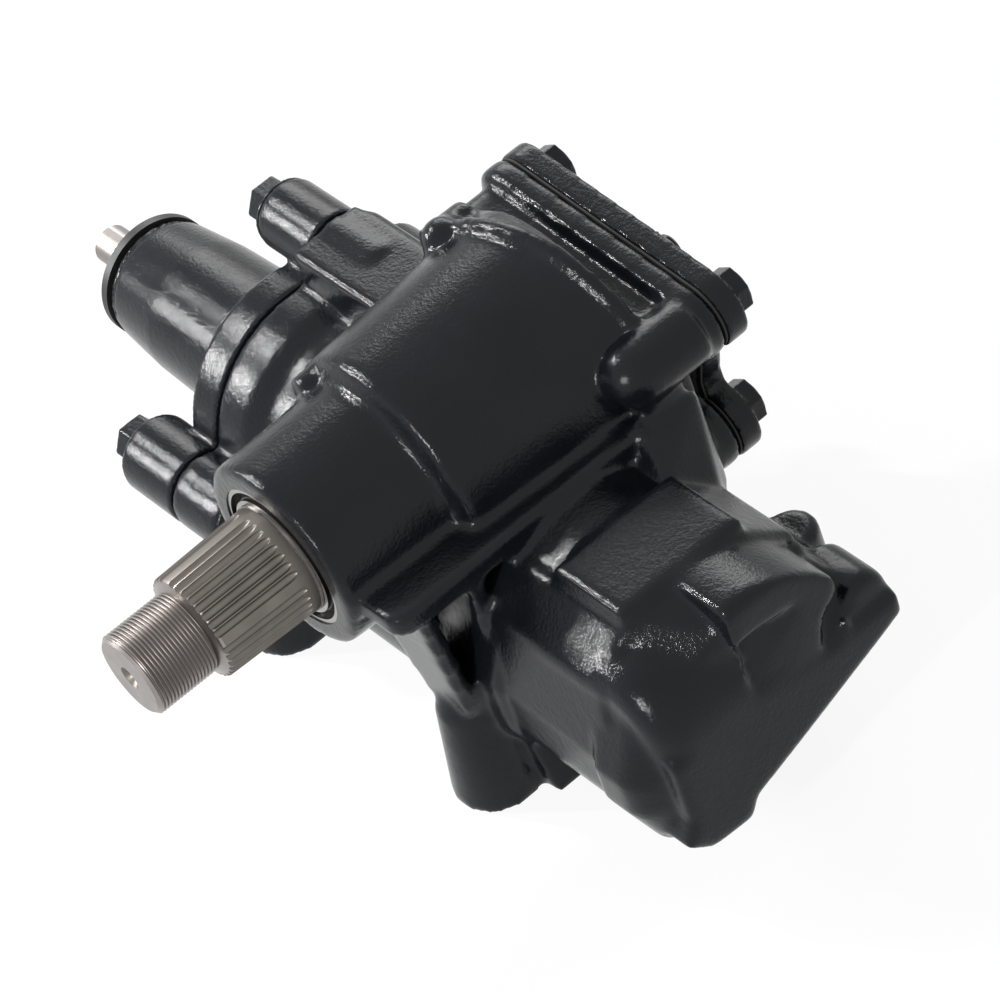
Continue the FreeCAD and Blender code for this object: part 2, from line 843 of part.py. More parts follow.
def screw(name, axis, seat, shank, pointing, flats, head, washer_radius):
    moved = {"X": (1, 0, 0), "Y": (0, 1, 0)}[axis]

    def along(distance):
        shift = size(distance) * pointing
        return tuple(size(seat[i]) + shift * moved[i] for i in range(3))

    def span(first, last):
        return along(first) if pointing > 0 else along(last)

    washer = cylinder(name + "_washer_face", axis, span(-1.5, 0), washer_radius, 1.5)
    hexagon_head = hexagon(name + "_head", axis, span(0 - head, -1.5), flats, head - 1.5)
    crown = cone(
        name + "_crown", axis, span(0 - head - 0.8, 0 - head),
        flats / 2 - 1.6 * (pointing > 0), flats / 2 - 1.6 * (pointing < 0), 0.8,
    )
    body = cylinder(name + "_shank", axis, span(0, shank), bolt_radius, shank)
    return fuse(name, [washer, hexagon_head, crown, body])


valve_screws = [
    screw("valve_screw_" + str(number), "X", (seat_place, across, up),
          of("valve_boss_length") + 22, 1, of("valve_bolt_head"),
          of("valve_bolt_height") - 0.8, of("valve_bolt_washer"))
    for number, (across, up) in enumerate(valve_bolt_centres)
]
node("valve_housing_bolts", group("valve_screw_set", valve_screws))

gasket = 0.8
cover_face = cover_joint + gasket + of("cover_thickness")
cover_screws = [
    screw("cover_screw_" + str(number), "Y", (along, cover_face, up),
          of("cover_thickness") + gasket + 20, -1, of("bolt_head"),
          of("bolt_head_height"), of("bolt_washer"))
    for number, (along, up) in enumerate(cover_bolt_centres)
]
node("side_cover_bolts", group("cover_screw_set", cover_screws))


# Side cover: the plate behind the tower, with an inner hub for the rear journal
# and a tapped boss for the adjusting screw

cover_solid = fuse("cover_forms", [
    cover_outline(
        "cover_plate", cover_joint + gasket, of("cover_boss_radius"), of("cover_thickness"),
    ),
    cylinder("cover_hub", "Y", (sector_place, 34, sector_height), 22.5, cover_joint - 33),
    cylinder("cover_boss", "Y", (sector_place, cover_face - 1, sector_height), 15, 5),
])
cover_cuts = [
    cylinder(
        "cover_bushing_bore", "Y", (sector_place, 33, sector_height), 17.5, 45,
    ),
    cylinder(
        "adjuster_hole", "Y", (sector_place, 70, sector_height), 6 + bolt_gap, 40,
    ),
]
for number, (along, up) in enumerate(cover_bolt_centres):
    cover_cuts.append(cylinder(
        "cover_clearance_" + str(number), "Y", (along, cover_joint, up),
        bolt_radius + bolt_gap, 20,
    ))
node("side_cover", cut("side_cover_solid", cover_solid, cover_cuts))

gasket_cuts = [
    cylinder(
        "gasket_opening", "Y",
        (sector_place, cover_joint - 1, sector_height - of("opening_drop")),
        of("opening_radius"), 4,
    ),
]
for number, (along, up) in enumerate(cover_bolt_centres):
    gasket_cuts.append(cylinder(
        "gasket_hole_" + str(number), "Y", (along, cover_joint - 1, up), 6, 4,
    ))
gasket_sheet = cover_outline(
    "gasket_sheet", cover_joint, of("cover_boss_radius") - 0.8, gasket,
)
node("side_cover_gasket", cut("side_cover_gasket_solid", gasket_sheet, gasket_cuts))

node("sector_cover_bushing", ring(
    "cover_bushing", "Y", (sector_place, 38, sector_height),
    of("rear_journal_radius") + running_gap, 17.5, 38,
))


# Sector shaft: a forging with three teeth in the middle, a journal at each side,
# the tapered pitman spline with four blocked teeth, and the threaded end

shaft_tip = boss_face - of("shaft_reach")
spline_out = boss_face - of("spline_length")
tooth_half = of("tooth_width") / 2
spline_depth = of("spline_depth")
pitch_radius = of("rack_pitch_height")
sector_tip = pitch_radius + of("tooth_size")
sector_root = pitch_radius - of("tooth_size")

shaft_core = turned(
    "sector_shaft_core", "Y", (sector_place, 0, sector_height),
    [
        (shaft_tip, 0), (shaft_tip, of("stub_thread_radius") - 1.6),
        (shaft_tip + 1.6, of("stub_thread_radius")),
        (shaft_tip + of("stub_thread_length") - 3, of("stub_thread_radius")),
        (shaft_tip + of("stub_thread_length") - 2, of("stub_thread_radius") - 1.4),
        (spline_out, of("stub_thread_radius") - 1.4),
        (spline_out, of("spline_outer_radius") - spline_depth),
        (boss_face - 2, of("spline_inner_radius") - spline_depth),
        (boss_face - 1, of("journal_radius")),
        (0 - tooth_half, of("journal_radius")),
        (0 - tooth_half, sector_root - 0.6),
        (tooth_half, sector_root - 0.6),
        (tooth_half, of("rear_journal_radius")),
        (76, of("rear_journal_radius")), (76, 9.5), (68, 9.5), (68, 0),
    ],
)
spline_taper = math.degrees(math.atan2(
    cell_values["spline_inner_radius"] - cell_values["spline_outer_radius"],
    cell_values["spline_length"],
))
shaft_forms = [shaft_core]
for number in range(36):
    wide = number % 9 == 4
    tooth = document.addObject("Part::Wedge", "spline_tooth_" + str(number))
    foot_half = size(1.5 + 1.9 * wide)
    crest_half = size(0.7 + 1.9 * wide)
    bind(
        tooth, Xmin=0 - foot_half, Xmax=foot_half, X2min=0 - crest_half, X2max=crest_half,
        Ymin=-1, Ymax=spline_depth, Zmin=0, Zmax=of("spline_length") - 2,
        Z2min=1, Z2max=of("spline_length") - 2,
    )
    angle = number * 10.0 + 5.0 * wide
    tilt = Rotation(Vector(1, 0, 0), -spline_taper)
    spin = Rotation(Vector(0, 1, 0), angle)
    stand = Rotation(Vector(1, 0, 0), Vector(0, 0, -1), Vector(0, 1, 0))
    seat = of("spline_outer_radius") - spline_depth
    turn = size(angle)
    place(
        tooth,
        (sector_place - seat * sine(turn), spline_out, sector_height - seat * cosine(turn)),
        spin * stand * tilt,
    )
    shaft_forms.append(tooth)


def involute_side(radius):
    """Half angle of a sector tooth at a radius, in degrees from its middle."""
    pressure = math.radians(cell_values["tooth_angle"])
    pitch = cell_values["rack_pitch_height"]
    base = pitch * math.cos(pressure)
    play = 0.25
    half = (math.pi * cell_values["tooth_size"] / 4 - play / 2) / pitch
    at = math.acos(min(1.0, base / radius))
    turn = half + math.tan(pressure) - pressure - math.tan(at) + at
    return math.degrees(turn) - 0.8 * (radius < base)


tooth_points = []
for step in (0.3, 1.5, 2.7, 4.2, 5.9, 7.7, 10.0):
    radius = sector_root + size(step) * of("tooth_size") / 5
    side = size(involute_side(radius.value))
    tooth_points.append((radius * cosine(side), radius * sine(side)))
deep = sector_root - 3
side = size(involute_side(sector_root.value))
tooth_points.insert(0, (deep, deep * sine(side)))
tooth_points += [(first, 0 - second) for first, second in reversed(tooth_points)]
for number, turn in enumerate((-36, 0, 36)):
    tooth = padded(
        "sector_tooth_" + str(number), "Y", (0, 0, 0), tooth_points, of("tooth_width"),
    )
    down = Rotation(Vector(0, 1, 0), 180 + turn) * ALONG["Y"]
    shaft_forms.append(place(tooth, (sector_place, 0 - tooth_half, sector_height), down))
hub_back = document.addObject("Part::Cylinder", "sector_hub_back")
bind(hub_back, Radius=of("journal_radius"), Height=of("tooth_width"), Angle=160)
shaft_forms.append(place(
    hub_back, (sector_place, 0 - tooth_half, sector_height),
    Rotation(Vector(0, 1, 0), -80) * ALONG["Y"],
))
centre_drilling = cone(
    "centre_drilling", "Y", (sector_place, shaft_tip - 0.01, sector_height), 4.7, 0.5, 5,
)
node("sector_shaft", cut(
    "sector_shaft_solid", fuse("sector_shaft_forms", shaft_forms), [centre_drilling],
))

node("lash_adjuster_retainer", ring(
    "adjuster_retainer", "Y", (sector_place, 73.6, sector_height), 6.6, 9.5, 2.4,
))
adjuster = turned(
    "adjuster_screw", "Y", (sector_place, 0, sector_height),
    [
        (68.3, 0), (68.3, 9), (73.2, 9), (73.2, 6), (101.2, 6), (102, 5.2), (102, 0),
    ],
)
socket = hexagon("adjuster_socket", "Y", (sector_place, 97, sector_height), 6, 8)
node("lash_adjuster_screw", cut("adjuster_screw_solid", adjuster, [socket]))
nut_form = hexagon("adjuster_nut", "Y", (sector_place, cover_face + 4, sector_height), 19, 7)
nut_hole = cylinder(
    "adjuster_nut_hole", "Y", (sector_place, cover_face, sector_height), 6 + bolt_gap, 20,
)
node("lash_adjuster_lock_nut", cut("adjuster_nut_solid", nut_form, [nut_hole]))


# Sector shaft bearing and seals, in the order they are pressed into the boss

bearing_start = boss_face + 54.5 - of("bearing_length")
needle_radius = 2
needle_circle = of("journal_radius") + running_gap + needle_radius
node("sector_bearing_shell", ring(
    "bearing_shell", "Y", (sector_place, bearing_start, sector_height),
    needle_circle + needle_radius + running_gap, of("bearing_bore"), of("bearing_length"),
))
needles = []
for number in range(24):
    turn = size(number * 15.0)
    needles.append(roller(
        "needle_" + str(number),
        (
            sector_place + needle_circle * cosine(turn), bearing_start + 1,
            sector_height + needle_circle * sine(turn),
        ),
        needle_radius, of("bearing_length") - 2, ALONG["Y"],
    ))
cage = [
    ring(
        "bearing_cage_" + str(number), "Y", (sector_place, start, sector_height),
        needle_circle - 1.2, needle_circle + 1.2, 1.5,
    )
    for number, start in enumerate([
        bearing_start + 0.2, bearing_start + of("bearing_length") - 1.7,
    ])
]
node("sector_bearing_needles", fuse("needle_set", needles + cage))

seal_back = boss_face + of("seal_depth")
node("sector_backup_washer", ring(
    "backup_washer", "Y", (sector_place, seal_back - 1.6, sector_height),
    of("journal_radius") + part_gap, of("seal_bore"), 1.6,
))
node("sector_pressure_seal", turned(
    "pressure_seal", "Y", (sector_place, seal_back - 9.6, sector_height),
    [
        (0, of("seal_bore")), (0, of("journal_radius") + 3), (3, of("journal_radius") + 0.05),
        (5, of("journal_radius") + 0.05), (8, of("journal_radius") + 3), (8, of("seal_bore")),
    ],
))
node("sector_seal_retaining_ring", ring(
    "seal_retaining_ring", "Y", (sector_place, seal_back - 11.4, sector_height),
    of("seal_bore") - 3.2, of("seal_bore"), 1.8,
))
node("sector_dust_seal_case", turned(
    "dust_seal_case", "Y", (sector_place, boss_face + 0.6, sector_height),
    [
        (0, of("seal_bore")), (0, of("seal_bore") - 1.8), (6, of("seal_bore") - 1.8),
        (6, of("journal_radius") + 2), (7.5, of("journal_radius") + 2),
        (7.5, of("seal_bore")),
    ],
))
node("sector_dust_seal_lip", turned(
    "dust_seal_lip", "Y", (sector_place, boss_face + 2.2, sector_height),
    [
        (4.4, of("seal_bore") - 1.8), (3, of("seal_bore") - 1.8),
        (2, of("journal_radius") + 2.4), (0, of("journal_radius") + 2.2),
        (0, of("journal_radius") + 0.05), (4.4, of("journal_radius") + 0.05),
    ],
))
node("sector_lip_ring", ring(
    "lip_ring", "Y", (sector_place, boss_face + 0.4, sector_height),
    of("journal_radius") + 0.1, of("journal_radius") + 1.7, 1.8,
))


# Rack piston: a bored steel cylinder with four rack teeth in its upper side, a
# sealing ring, a threaded end plug and the outside ball guide

piston_start = -50
piston_end = of("piston_length") - 50
nut_bore = of("ball_circle") + of("ball_radius") + 0.1
rack_tip = of("rack_pitch_height") + of("tooth_size") * 0.88
rack_root = of("centre_distance") - sector_tip - 0.6
guide_first = -36.0
guide_last = -12.0

rack_space = padded(
    "rack_space", "Y", (0, -40, 0),
    [
        (worm_height + rack_tip, sector_place - 36), (worm_height + 40, sector_place - 36),
        (worm_height + 40, sector_place + 36), (worm_height + rack_tip, sector_place + 36),
    ],
    80,
)
gaps = []
slope = math.tan(math.radians(cell_values["tooth_angle"]))
pitch_length = of("tooth_size") * math.pi
for number in (-1, 0, 1):
    middle = sector_place + pitch_length * number
    half_top = pitch_length / 4 + (rack_tip - of("rack_pitch_height") + 1) * slope
    half_low = pitch_length / 4 - (of("rack_pitch_height") - rack_root) * slope
    gaps.append(padded(
        "rack_gap_" + str(number + 1), "Y", (0, -40, 0),
        [
            (worm_height + rack_root, middle - half_low),
            (worm_height + rack_tip + 1, middle - half_top),
            (worm_height + rack_tip + 1, middle + half_top),
            (worm_height + rack_root, middle + half_low),
        ],
        80,
    ))
for number, side in enumerate((-1, 1)):
    inner = pitch_length * 1.5 * side
    low_shift = (of("rack_pitch_height") - rack_root) * slope * side
    top_shift = (rack_tip - of("rack_pitch_height") + 1) * slope * side
    tooth_edge = pitch_length / 4 * side
    gaps.append(padded(
        "rack_run_out_" + str(number), "Y", (0, -40, 0),
        [
            (worm_height + rack_root, sector_place + inner - tooth_edge + low_shift),
            (worm_height + rack_tip + 1, sector_place + inner - tooth_edge - top_shift),
            (worm_height + rack_tip + 1, sector_place + 33 * side),
            (worm_height + rack_root, sector_place + 33 * side),
        ],
        80,
    ))
piston_cuts = [
    rack_space,
    cylinder("nut_bore_cut", "X", (piston_start - 1, 0, worm_height), nut_bore, 400),
    cylinder("plug_bore_cut", "X", (piston_end - 16, 0, worm_height), 19, 40),
    block(
        "guide_pocket_cut", (guide_first - 7, -9.3, 20),
        (guide_last - guide_first + 14, 18.6, worm_height - 36),
    ),
    cylinder("guide_entry_first", "Z", (guide_first, 0, worm_height - 20), 4.3, 10),
    cylinder("guide_entry_last", "Z", (guide_last, 0, worm_height - 20), 4.3, 10),
    ring(
        "ring_groove_cut", "X", (piston_start + 6, 0, worm_height),
        of("piston_radius") - 3, of("piston_radius") + 2, 4,
    ),
] + gaps
piston_blank = cylinder(
    "piston_blank", "X", (piston_start, 0, worm_height),
    of("piston_radius"), of("piston_length"),
)
node("rack_piston", cut("rack_piston_solid", piston_blank, piston_cuts))
node("rack_piston_ring", ring(
    "piston_ring", "X", (piston_start + 6, 0, worm_height),
    of("piston_radius") - 3, of("piston_radius"), 4,
))
plug_form = cylinder("plug_form", "X", (piston_end - 16, 0, worm_height), 19, 14)
plug_socket = block("plug_socket", (piston_end - 8, -6.5, worm_height - 6.5), (20, 13, 13))
node("rack_piston_end_plug", cut("end_plug_solid", plug_form, [plug_socket]))

ball_step = 360 / 11
ball_size = of("ball_radius") - 0.06


def low_ball(name, centre):
    """Ball of eight-sided bands, since eighteen true spheres would need many faces."""
    sections = []
    for step in range(6):
        angle = size(18 + step * 28.8)
        ring_wire = document.addObject("Part::RegularPolygon", name + "_band_" + str(step))
        ring_wire.Polygon = 8
        bind(ring_wire, Circumradius=ball_size * sine(angle))
        lift = centre[2] - ball_size * cosine(angle)
        sections.append(place(ring_wire, (centre[0], centre[1], lift), Rotation()))
    loft = document.addObject("Part::Loft", name)
    loft.Sections = sections
    loft.Solid = True
    loft.Ruled = True
    return loft


balls = []
for number in range(18):
    turn = size(270 + number * ball_step)
    balls.append(low_ball(
        "ball_" + str(number),
        (
            guide_first + of("worm_lead") * (number * ball_step / 360),
            of("ball_circle") * cosine(turn),
            worm_height + of("ball_circle") * sine(turn),
        ),
    ))
node("recirculating_balls", group("ball_set", balls))

guide_radius = 4.2
guide_floor = worm_height - 25
guide_spine = guide_last - guide_first
guide_outer = [
    cylinder("guide_leg_first", "Z", (guide_first, 0, guide_floor), guide_radius, 10),
    cylinder("guide_leg_last", "Z", (guide_last, 0, guide_floor), guide_radius, 10),
    cylinder("guide_run", "X", (guide_first, 0, guide_floor), guide_radius, guide_spine),
    ball("guide_elbow_first", (guide_first, 0, guide_floor), guide_radius),
    ball("guide_elbow_last", (guide_last, 0, guide_floor), guide_radius),
]
guide_inner = [
    cylinder("guide_hole_first", "Z", (guide_first, 0, guide_floor), 3.3, 12),
    cylinder("guide_hole_last", "Z", (guide_last, 0, guide_floor), 3.3, 12),
    cylinder("guide_hole_run", "X", (guide_first, 0, guide_floor), 3.3, guide_spine),
]
guide_tube = cut("guide_tube", fuse("guide_outside", guide_outer), guide_inner)
for name, corner in (("ball_guide_front_half", -10), ("ball_guide_rear_half", 0)):
    keep = block(name + "_side", (guide_first - 9, corner, 20), (guide_spine + 18, 10, 50))
    half = document.addObject("Part::Common", name + "_solid")
    half.Base = guide_tube
    half.Tool = keep
    node(name, half)
clamp_plate = block(
    "guide_clamp_plate", (guide_first + 6, -9, guide_floor - 6), (12, 18, 1.6),
)
node("ball_guide_clamp", clamp_plate)


# Worm shaft: a ground screw with a thrust flange, its helical ball groove cut as
# one sweep of a trapezoid along the helix of the balls

worm_end = 22
groove_start = guide_first - of("worm_lead") * 2.75
worm_blank = turned(
    "worm_blank", "X", (0, 0, worm_height),
    [
        (joint_place - 34, 9.3), (joint_place - 34, 15), (joint_place - 18.2, 15),
        (joint_place - 18.2, 22), (joint_place - 12.2, 22), (joint_place - 12.2, 12.5),
        (joint_place + 4, of("worm_radius")), (worm_end - 1.5, of("worm_radius")),
        (worm_end, of("worm_radius") - 1.5), (worm_end, 0), (joint_place + 10, 0),
        (joint_place + 10, 4.4), (joint_place - 20, 4.4), (joint_place - 20, 5.5),
        (joint_place - 30, 5.5), (joint_place - 30, 9.3),
    ],
)
groove_body = document.addObject("PartDesign::Body", "worm_groove")
groove_half = of("ball_radius") + 0.2
groove_floor = of("ball_circle") - of("ball_radius") - 0.3
groove_profile = outline(
    groove_body, "worm_groove_profile",
    [
        (0 - groove_half - 0.1, of("ball_circle") + 0.6),
        (0 - groove_half * 0.75, groove_floor),
        (groove_half * 0.75, groove_floor),
        (groove_half + 0.1, of("ball_circle") + 0.6),
    ],
)
groove_helix = groove_body.newObject("PartDesign::AdditiveHelix", "worm_groove_helix")
groove_helix.Profile = groove_profile
groove_helix.ReferenceAxis = (groove_profile, ["H_Axis"])
groove_helix.Mode = 0
bind(groove_helix, Pitch=of("worm_lead"), Height=of("worm_lead") * 7)
place(groove_body, (groove_start, 0, worm_height), Rotation())
node("worm_shaft", cut("worm_shaft_solid", worm_blank, [groove_body]))


# Worm thrust bearings and their retainer, between the valve housing shoulder and
# the worm flange

races = []
cages = []
for number, (race, cage_start) in enumerate([
    (valve_shoulder, valve_shoulder + 2.0),
    (joint_place - 9.2, joint_place - 12.2),
]):
    races.append(ring(
        "thrust_race_" + str(number), "X", (race, 0, worm_height), 15.5, 25, 2,
    ))
    cages.append(ring(
        "thrust_cage_" + str(number), "X", (cage_start + 0.6, 0, worm_height), 15.5, 24.5, 1.8,
    ))
node("worm_thrust_races", group("thrust_race_set", races))
needle_forms = list(cages)
for side, cage_start in enumerate([valve_shoulder + 2.0, joint_place - 12.2]):
    for number in range(16):
        turn = size(number * 22.5)
        needle_forms.append(roller(
            "thrust_needle_" + str(side) + "_" + str(number),
            (
                size(cage_start) + 1.5, cosine(turn) * 16.5,
                worm_height + sine(turn) * 16.5,
            ),
            1.5, 7, Rotation(Vector(1, 0, 0), number * 22.5) * ALONG["Y"],
        ))
node("worm_thrust_bearings", fuse("thrust_bearing_set", needle_forms))
node("worm_bearing_retainer", ring(
    "bearing_retainer", "X", (joint_place - 7.2, 0, worm_height), 15, 27, 12,
))


# Rotary valve: the input shaft with its spool, the sleeve pinned to the worm, the
# torsion bar between them and the seals round the sleeve

stub_end = joint_place - of("stub_reach")
spool_radius = of("spool_radius") - 1
sleeve_radius = 21 - running_gap
input_radius = of("input_radius")
input_core = turned(
    "input_shaft_core", "X", (0, 0, worm_height),
    [
        (stub_end, 0), (stub_end, of("stub_radius") - 1), (stub_end + 1, of("stub_radius")),
        (valve_rim - 6.2, of("stub_radius")), (valve_rim - 6.2, input_radius),
        (-161, input_radius),
        (-161, spool_radius), (joint_place - 36, spool_radius),
        (joint_place - 36, 9), (joint_place - 30.5, 9), (joint_place - 30.5, 4.2),
        (stub_end + 30, 4.2), (stub_end + 30, 0),
    ],
)
input_cuts = [
    block("stub_flat_cut", (stub_end - 1, -5, worm_height + of("stub_flat")), (29, 10, 3)),
]
for number in range(6):
    turn = size(number * 60.0)
    slot = block("spool_slot_" + str(number), (0, 0, 0), (34, 6, 3))
    input_cuts.append(place(
        slot,
        (
            -154, cosine(turn) * 11 + sine(turn) * 1.5,
            worm_height + sine(turn) * 11 - cosine(turn) * 1.5,
        ),
        Rotation(Vector(1, 0, 0), number * 60.0),
    ))
node("input_shaft", cut("input_shaft_solid", input_core, input_cuts))

sleeve_start = -158
sleeve_length = joint_place - 25 - sleeve_start
sleeve_blank = ring(
    "sleeve_blank", "X", (sleeve_start, 0, worm_height),
    spool_radius + running_gap, sleeve_radius, sleeve_length,
)
sleeve_cuts = [
    cylinder(
        "sleeve_worm_socket", "X", (joint_place - 34.3, 0, worm_height), 15.05, 20,
    ),
]
seal_rings = []
for number, along in enumerate([-154.5, -143, -131.5, -119]):
    sleeve_cuts.append(ring(
        "sleeve_ring_groove_" + str(number), "X", (along, 0, worm_height), 19, 23, 2.4,
    ))
    seal_rings.append(ring(
        "sleeve_ring_" + str(number), "X", (along, 0, worm_height), 19, 21, 2.4,
    ))
for number, along in enumerate([-149, -137.5, -125.5]):
    for side in range(4):
        drilling = cylinder(
            "sleeve_drilling_" + str(number) + str(side), "Z", (0, 0, 0), 2, 12,
        )
        turn = Rotation(Vector(1, 0, 0), 45 + side * 90)
        lift = math.radians(45 + side * 90)
        place(
            drilling,
            (along, -11 * math.sin(lift), worm_height + 11 * math.cos(lift)), turn,
        )
        sleeve_cuts.append(drilling)
node("valve_sleeve", cut("valve_sleeve_solid", sleeve_blank, sleeve_cuts))
node("valve_sleeve_rings", group("sleeve_ring_set", seal_rings))

torsion_bar = turned(
    "torsion_bar_turned", "X", (0, 0, worm_height),
    [
        (stub_end + 31, 0), (stub_end + 31, 4.15), (stub_end + 41, 4.15),
        (stub_end + 44, 2.7), (joint_place - 12, 2.7), (joint_place - 8, 4.4),
        (joint_place + 9.5, 4.4), (joint_place + 9.5, 0),
    ],
)
node("torsion_bar", torsion_bar)

node("input_bearing", ring(
    "input_bearing_ring", "X", (valve_rim + 11, 0, worm_height),
    input_radius + running_gap, 14, 11,
))
node("input_seal", turned(
    "input_seal_turned", "X", (valve_rim + 3, 0, worm_height),
    [
        (0, 17), (0, 12), (2, input_radius + running_gap),
        (4, input_radius + running_gap), (6, 12), (6.5, 17),
    ],
))
node("input_dust_ring", turned(
    "input_dust_ring_turned", "X", (valve_rim - 6.5, 0, worm_height),
    [
        (0, input_radius + running_gap), (0, of("valve_rim_radius") - 1),
        (1, of("valve_rim_radius")), (4.5, of("valve_rim_radius")),
        (4.5, of("valve_rim_radius") - 3), (2, of("valve_rim_radius") - 3),
        (2, input_radius + running_gap),
    ],
))

pilot_groove = 3
node("valve_housing_seal", ring(
    "valve_pilot_seal", "X", (joint_place + 2, 0, worm_height),
    piston_bore - bolt_gap - 2, piston_bore - bolt_gap, pilot_groove,
))


# Files

document.recompute()
broken = []
for item in document.Objects:
    if "Invalid" in item.State or "Error" in item.State:
        broken.append(item.Name)
for item in nodes:
    if item.Shape.isNull() or not item.Shape.isValid():
        broken.append(item.Label)
if broken:
    raise RuntimeError("bad objects: " + ", ".join(broken))
os.makedirs("parts", exist_ok=True)
for item in nodes:
    item.Shape.exportStep("parts/" + item.Label + ".step")
print(len(nodes), "nodes written")
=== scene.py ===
import math

import bpy
from mathutils import Matrix, Vector


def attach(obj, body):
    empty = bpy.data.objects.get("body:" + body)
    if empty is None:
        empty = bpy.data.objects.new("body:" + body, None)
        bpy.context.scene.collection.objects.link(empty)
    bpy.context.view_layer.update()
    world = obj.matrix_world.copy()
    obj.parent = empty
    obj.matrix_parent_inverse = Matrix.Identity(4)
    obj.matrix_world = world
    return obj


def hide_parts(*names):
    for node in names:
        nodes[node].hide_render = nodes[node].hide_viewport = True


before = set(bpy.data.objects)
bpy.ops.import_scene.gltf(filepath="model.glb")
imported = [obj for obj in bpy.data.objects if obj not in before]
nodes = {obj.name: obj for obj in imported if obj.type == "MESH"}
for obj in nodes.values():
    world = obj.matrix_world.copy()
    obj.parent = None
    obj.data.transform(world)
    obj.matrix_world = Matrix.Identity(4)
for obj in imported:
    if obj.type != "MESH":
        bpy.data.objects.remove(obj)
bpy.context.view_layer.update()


# Camera: a long lens from well off, so that parallel edges stay nearly parallel. It
# looks down on the pitman end from the closed end's side, as the photograph does
CAMERA_PLACE = Vector((1.3596, -0.6180, 1.4400))
CAMERA_RIGHT = Vector((0.6158, 0.7422, -0.2645))
CAMERA_UP = Vector((-0.4237, 0.5950, 0.6830))
LENS_MM, SENSOR_MM = 201.6, 36
bpy.ops.object.select_all(action="DESELECT")
bpy.ops.object.camera_add()
camera = bpy.context.object
camera.name = "photo_camera"
camera.data.lens = LENS_MM
camera.data.sensor_width = SENSOR_MM
camera.data.clip_end = 20
back = CAMERA_RIGHT.cross(CAMERA_UP).normalized()
up = back.cross(CAMERA_RIGHT).normalized()
turn = Matrix((CAMERA_RIGHT.normalized(), up, back)).transposed()
camera.matrix_world = Matrix.Translation(CAMERA_PLACE) @ turn.to_4x4()
bpy.context.scene.camera = camera
bpy.context.scene.view_settings.view_transform = "Standard"


# Floor: a wide sheet of matt white paper that keeps a faint shadow of the object. Rays
# that the camera sees, straight or by way of a shiny surface, meet it nearly white
FLOOR_SIZE, FLOOR_GLOW = 12, 0.9


def linear(hex_colour):
    """sRGB hex colour as the linear values that a shader takes."""
    parts = [int(hex_colour[i:i + 2], 16) / 255 for i in (1, 3, 5)]
    parts = [((c + 0.055) / 1.055) ** 2.4 if c > 0.04045 else c / 12.92 for c in parts]
    return parts + [1]


def add(tree, kind, settings=None, links=None):
    """Add a node, set its properties and input values, and link its inputs."""
    item = tree.nodes.new(kind)
    for name, value in (settings or {}).items():
        if isinstance(name, str) and hasattr(item, name):
            setattr(item, name, value)
        else:
            item.inputs[name].default_value = value
    for name, socket in (links or {}).items():
        tree.links.new(socket, item.inputs[name])
    return item


def new_material(name, settings):
    """A material with its principled shader and its node tree."""
    material = bpy.data.materials.new(name)
    material.use_nodes = True
    tree = material.node_tree
    shader = tree.nodes["Principled BSDF"]
    for socket, value in settings.items():
        shader.inputs[socket].default_value = value
    return material, tree, shader


def seen_rays(tree):
    """1 for a ray that is seen straight, mirrored or through glass, and 0 for the rest."""
    path = add(tree, "ShaderNodeLightPath")
    seen = add(tree, "ShaderNodeMath", {"operation": "MAXIMUM"},
               {0: path.outputs["Is Camera Ray"], 1: path.outputs["Is Glossy Ray"]})
    seen = add(tree, "ShaderNodeMath", {"operation": "MAXIMUM"},
               {0: seen.outputs[0], 1: path.outputs["Is Transmission Ray"]})
    return seen.outputs[0]


bpy.ops.mesh.primitive_plane_add(size=FLOOR_SIZE)
floor = bpy.context.object
floor.name = "studio_floor"
# Matt paper scatters light evenly, with no shine of its own
paper, tree, shader = new_material(
    "matt_white_paper", {"Roughness": 0.9, "Base Color": linear("#f6f6f6")})
lift = add(tree, "ShaderNodeMath", {"operation": "MULTIPLY", 1: FLOOR_GLOW},
           {0: seen_rays(tree)})
white = add(tree, "ShaderNodeEmission", {"Color": linear("#ffffff"), "Strength": 1.0})
both = add(tree, "ShaderNodeMixShader", links={
    0: lift.outputs[0], 1: shader.outputs[0], 2: white.outputs[0],
})
tree.links.new(both.outputs[0], tree.nodes["Material Output"].inputs["Surface"])
floor.data.materials.append(paper)


# Studio walls: an even white surround, which lights the object at about half strength
# and is full white where it is seen or mirrored
WALL_LIGHT, WALL_SEEN = 0.55, 1.0
world = bpy.context.scene.world or bpy.data.worlds.new("studio")
bpy.context.scene.world = world
world.use_nodes = True
tree = world.node_tree
level = add(tree, "ShaderNodeMapRange", {"To Min": WALL_LIGHT, "To Max": WALL_SEEN},
            {"Value": seen_rays(tree)})
tree.nodes["Background"].inputs["Color"].default_value = linear("#ffffff")
tree.links.new(level.outputs["Result"], tree.nodes["Background"].inputs["Strength"])


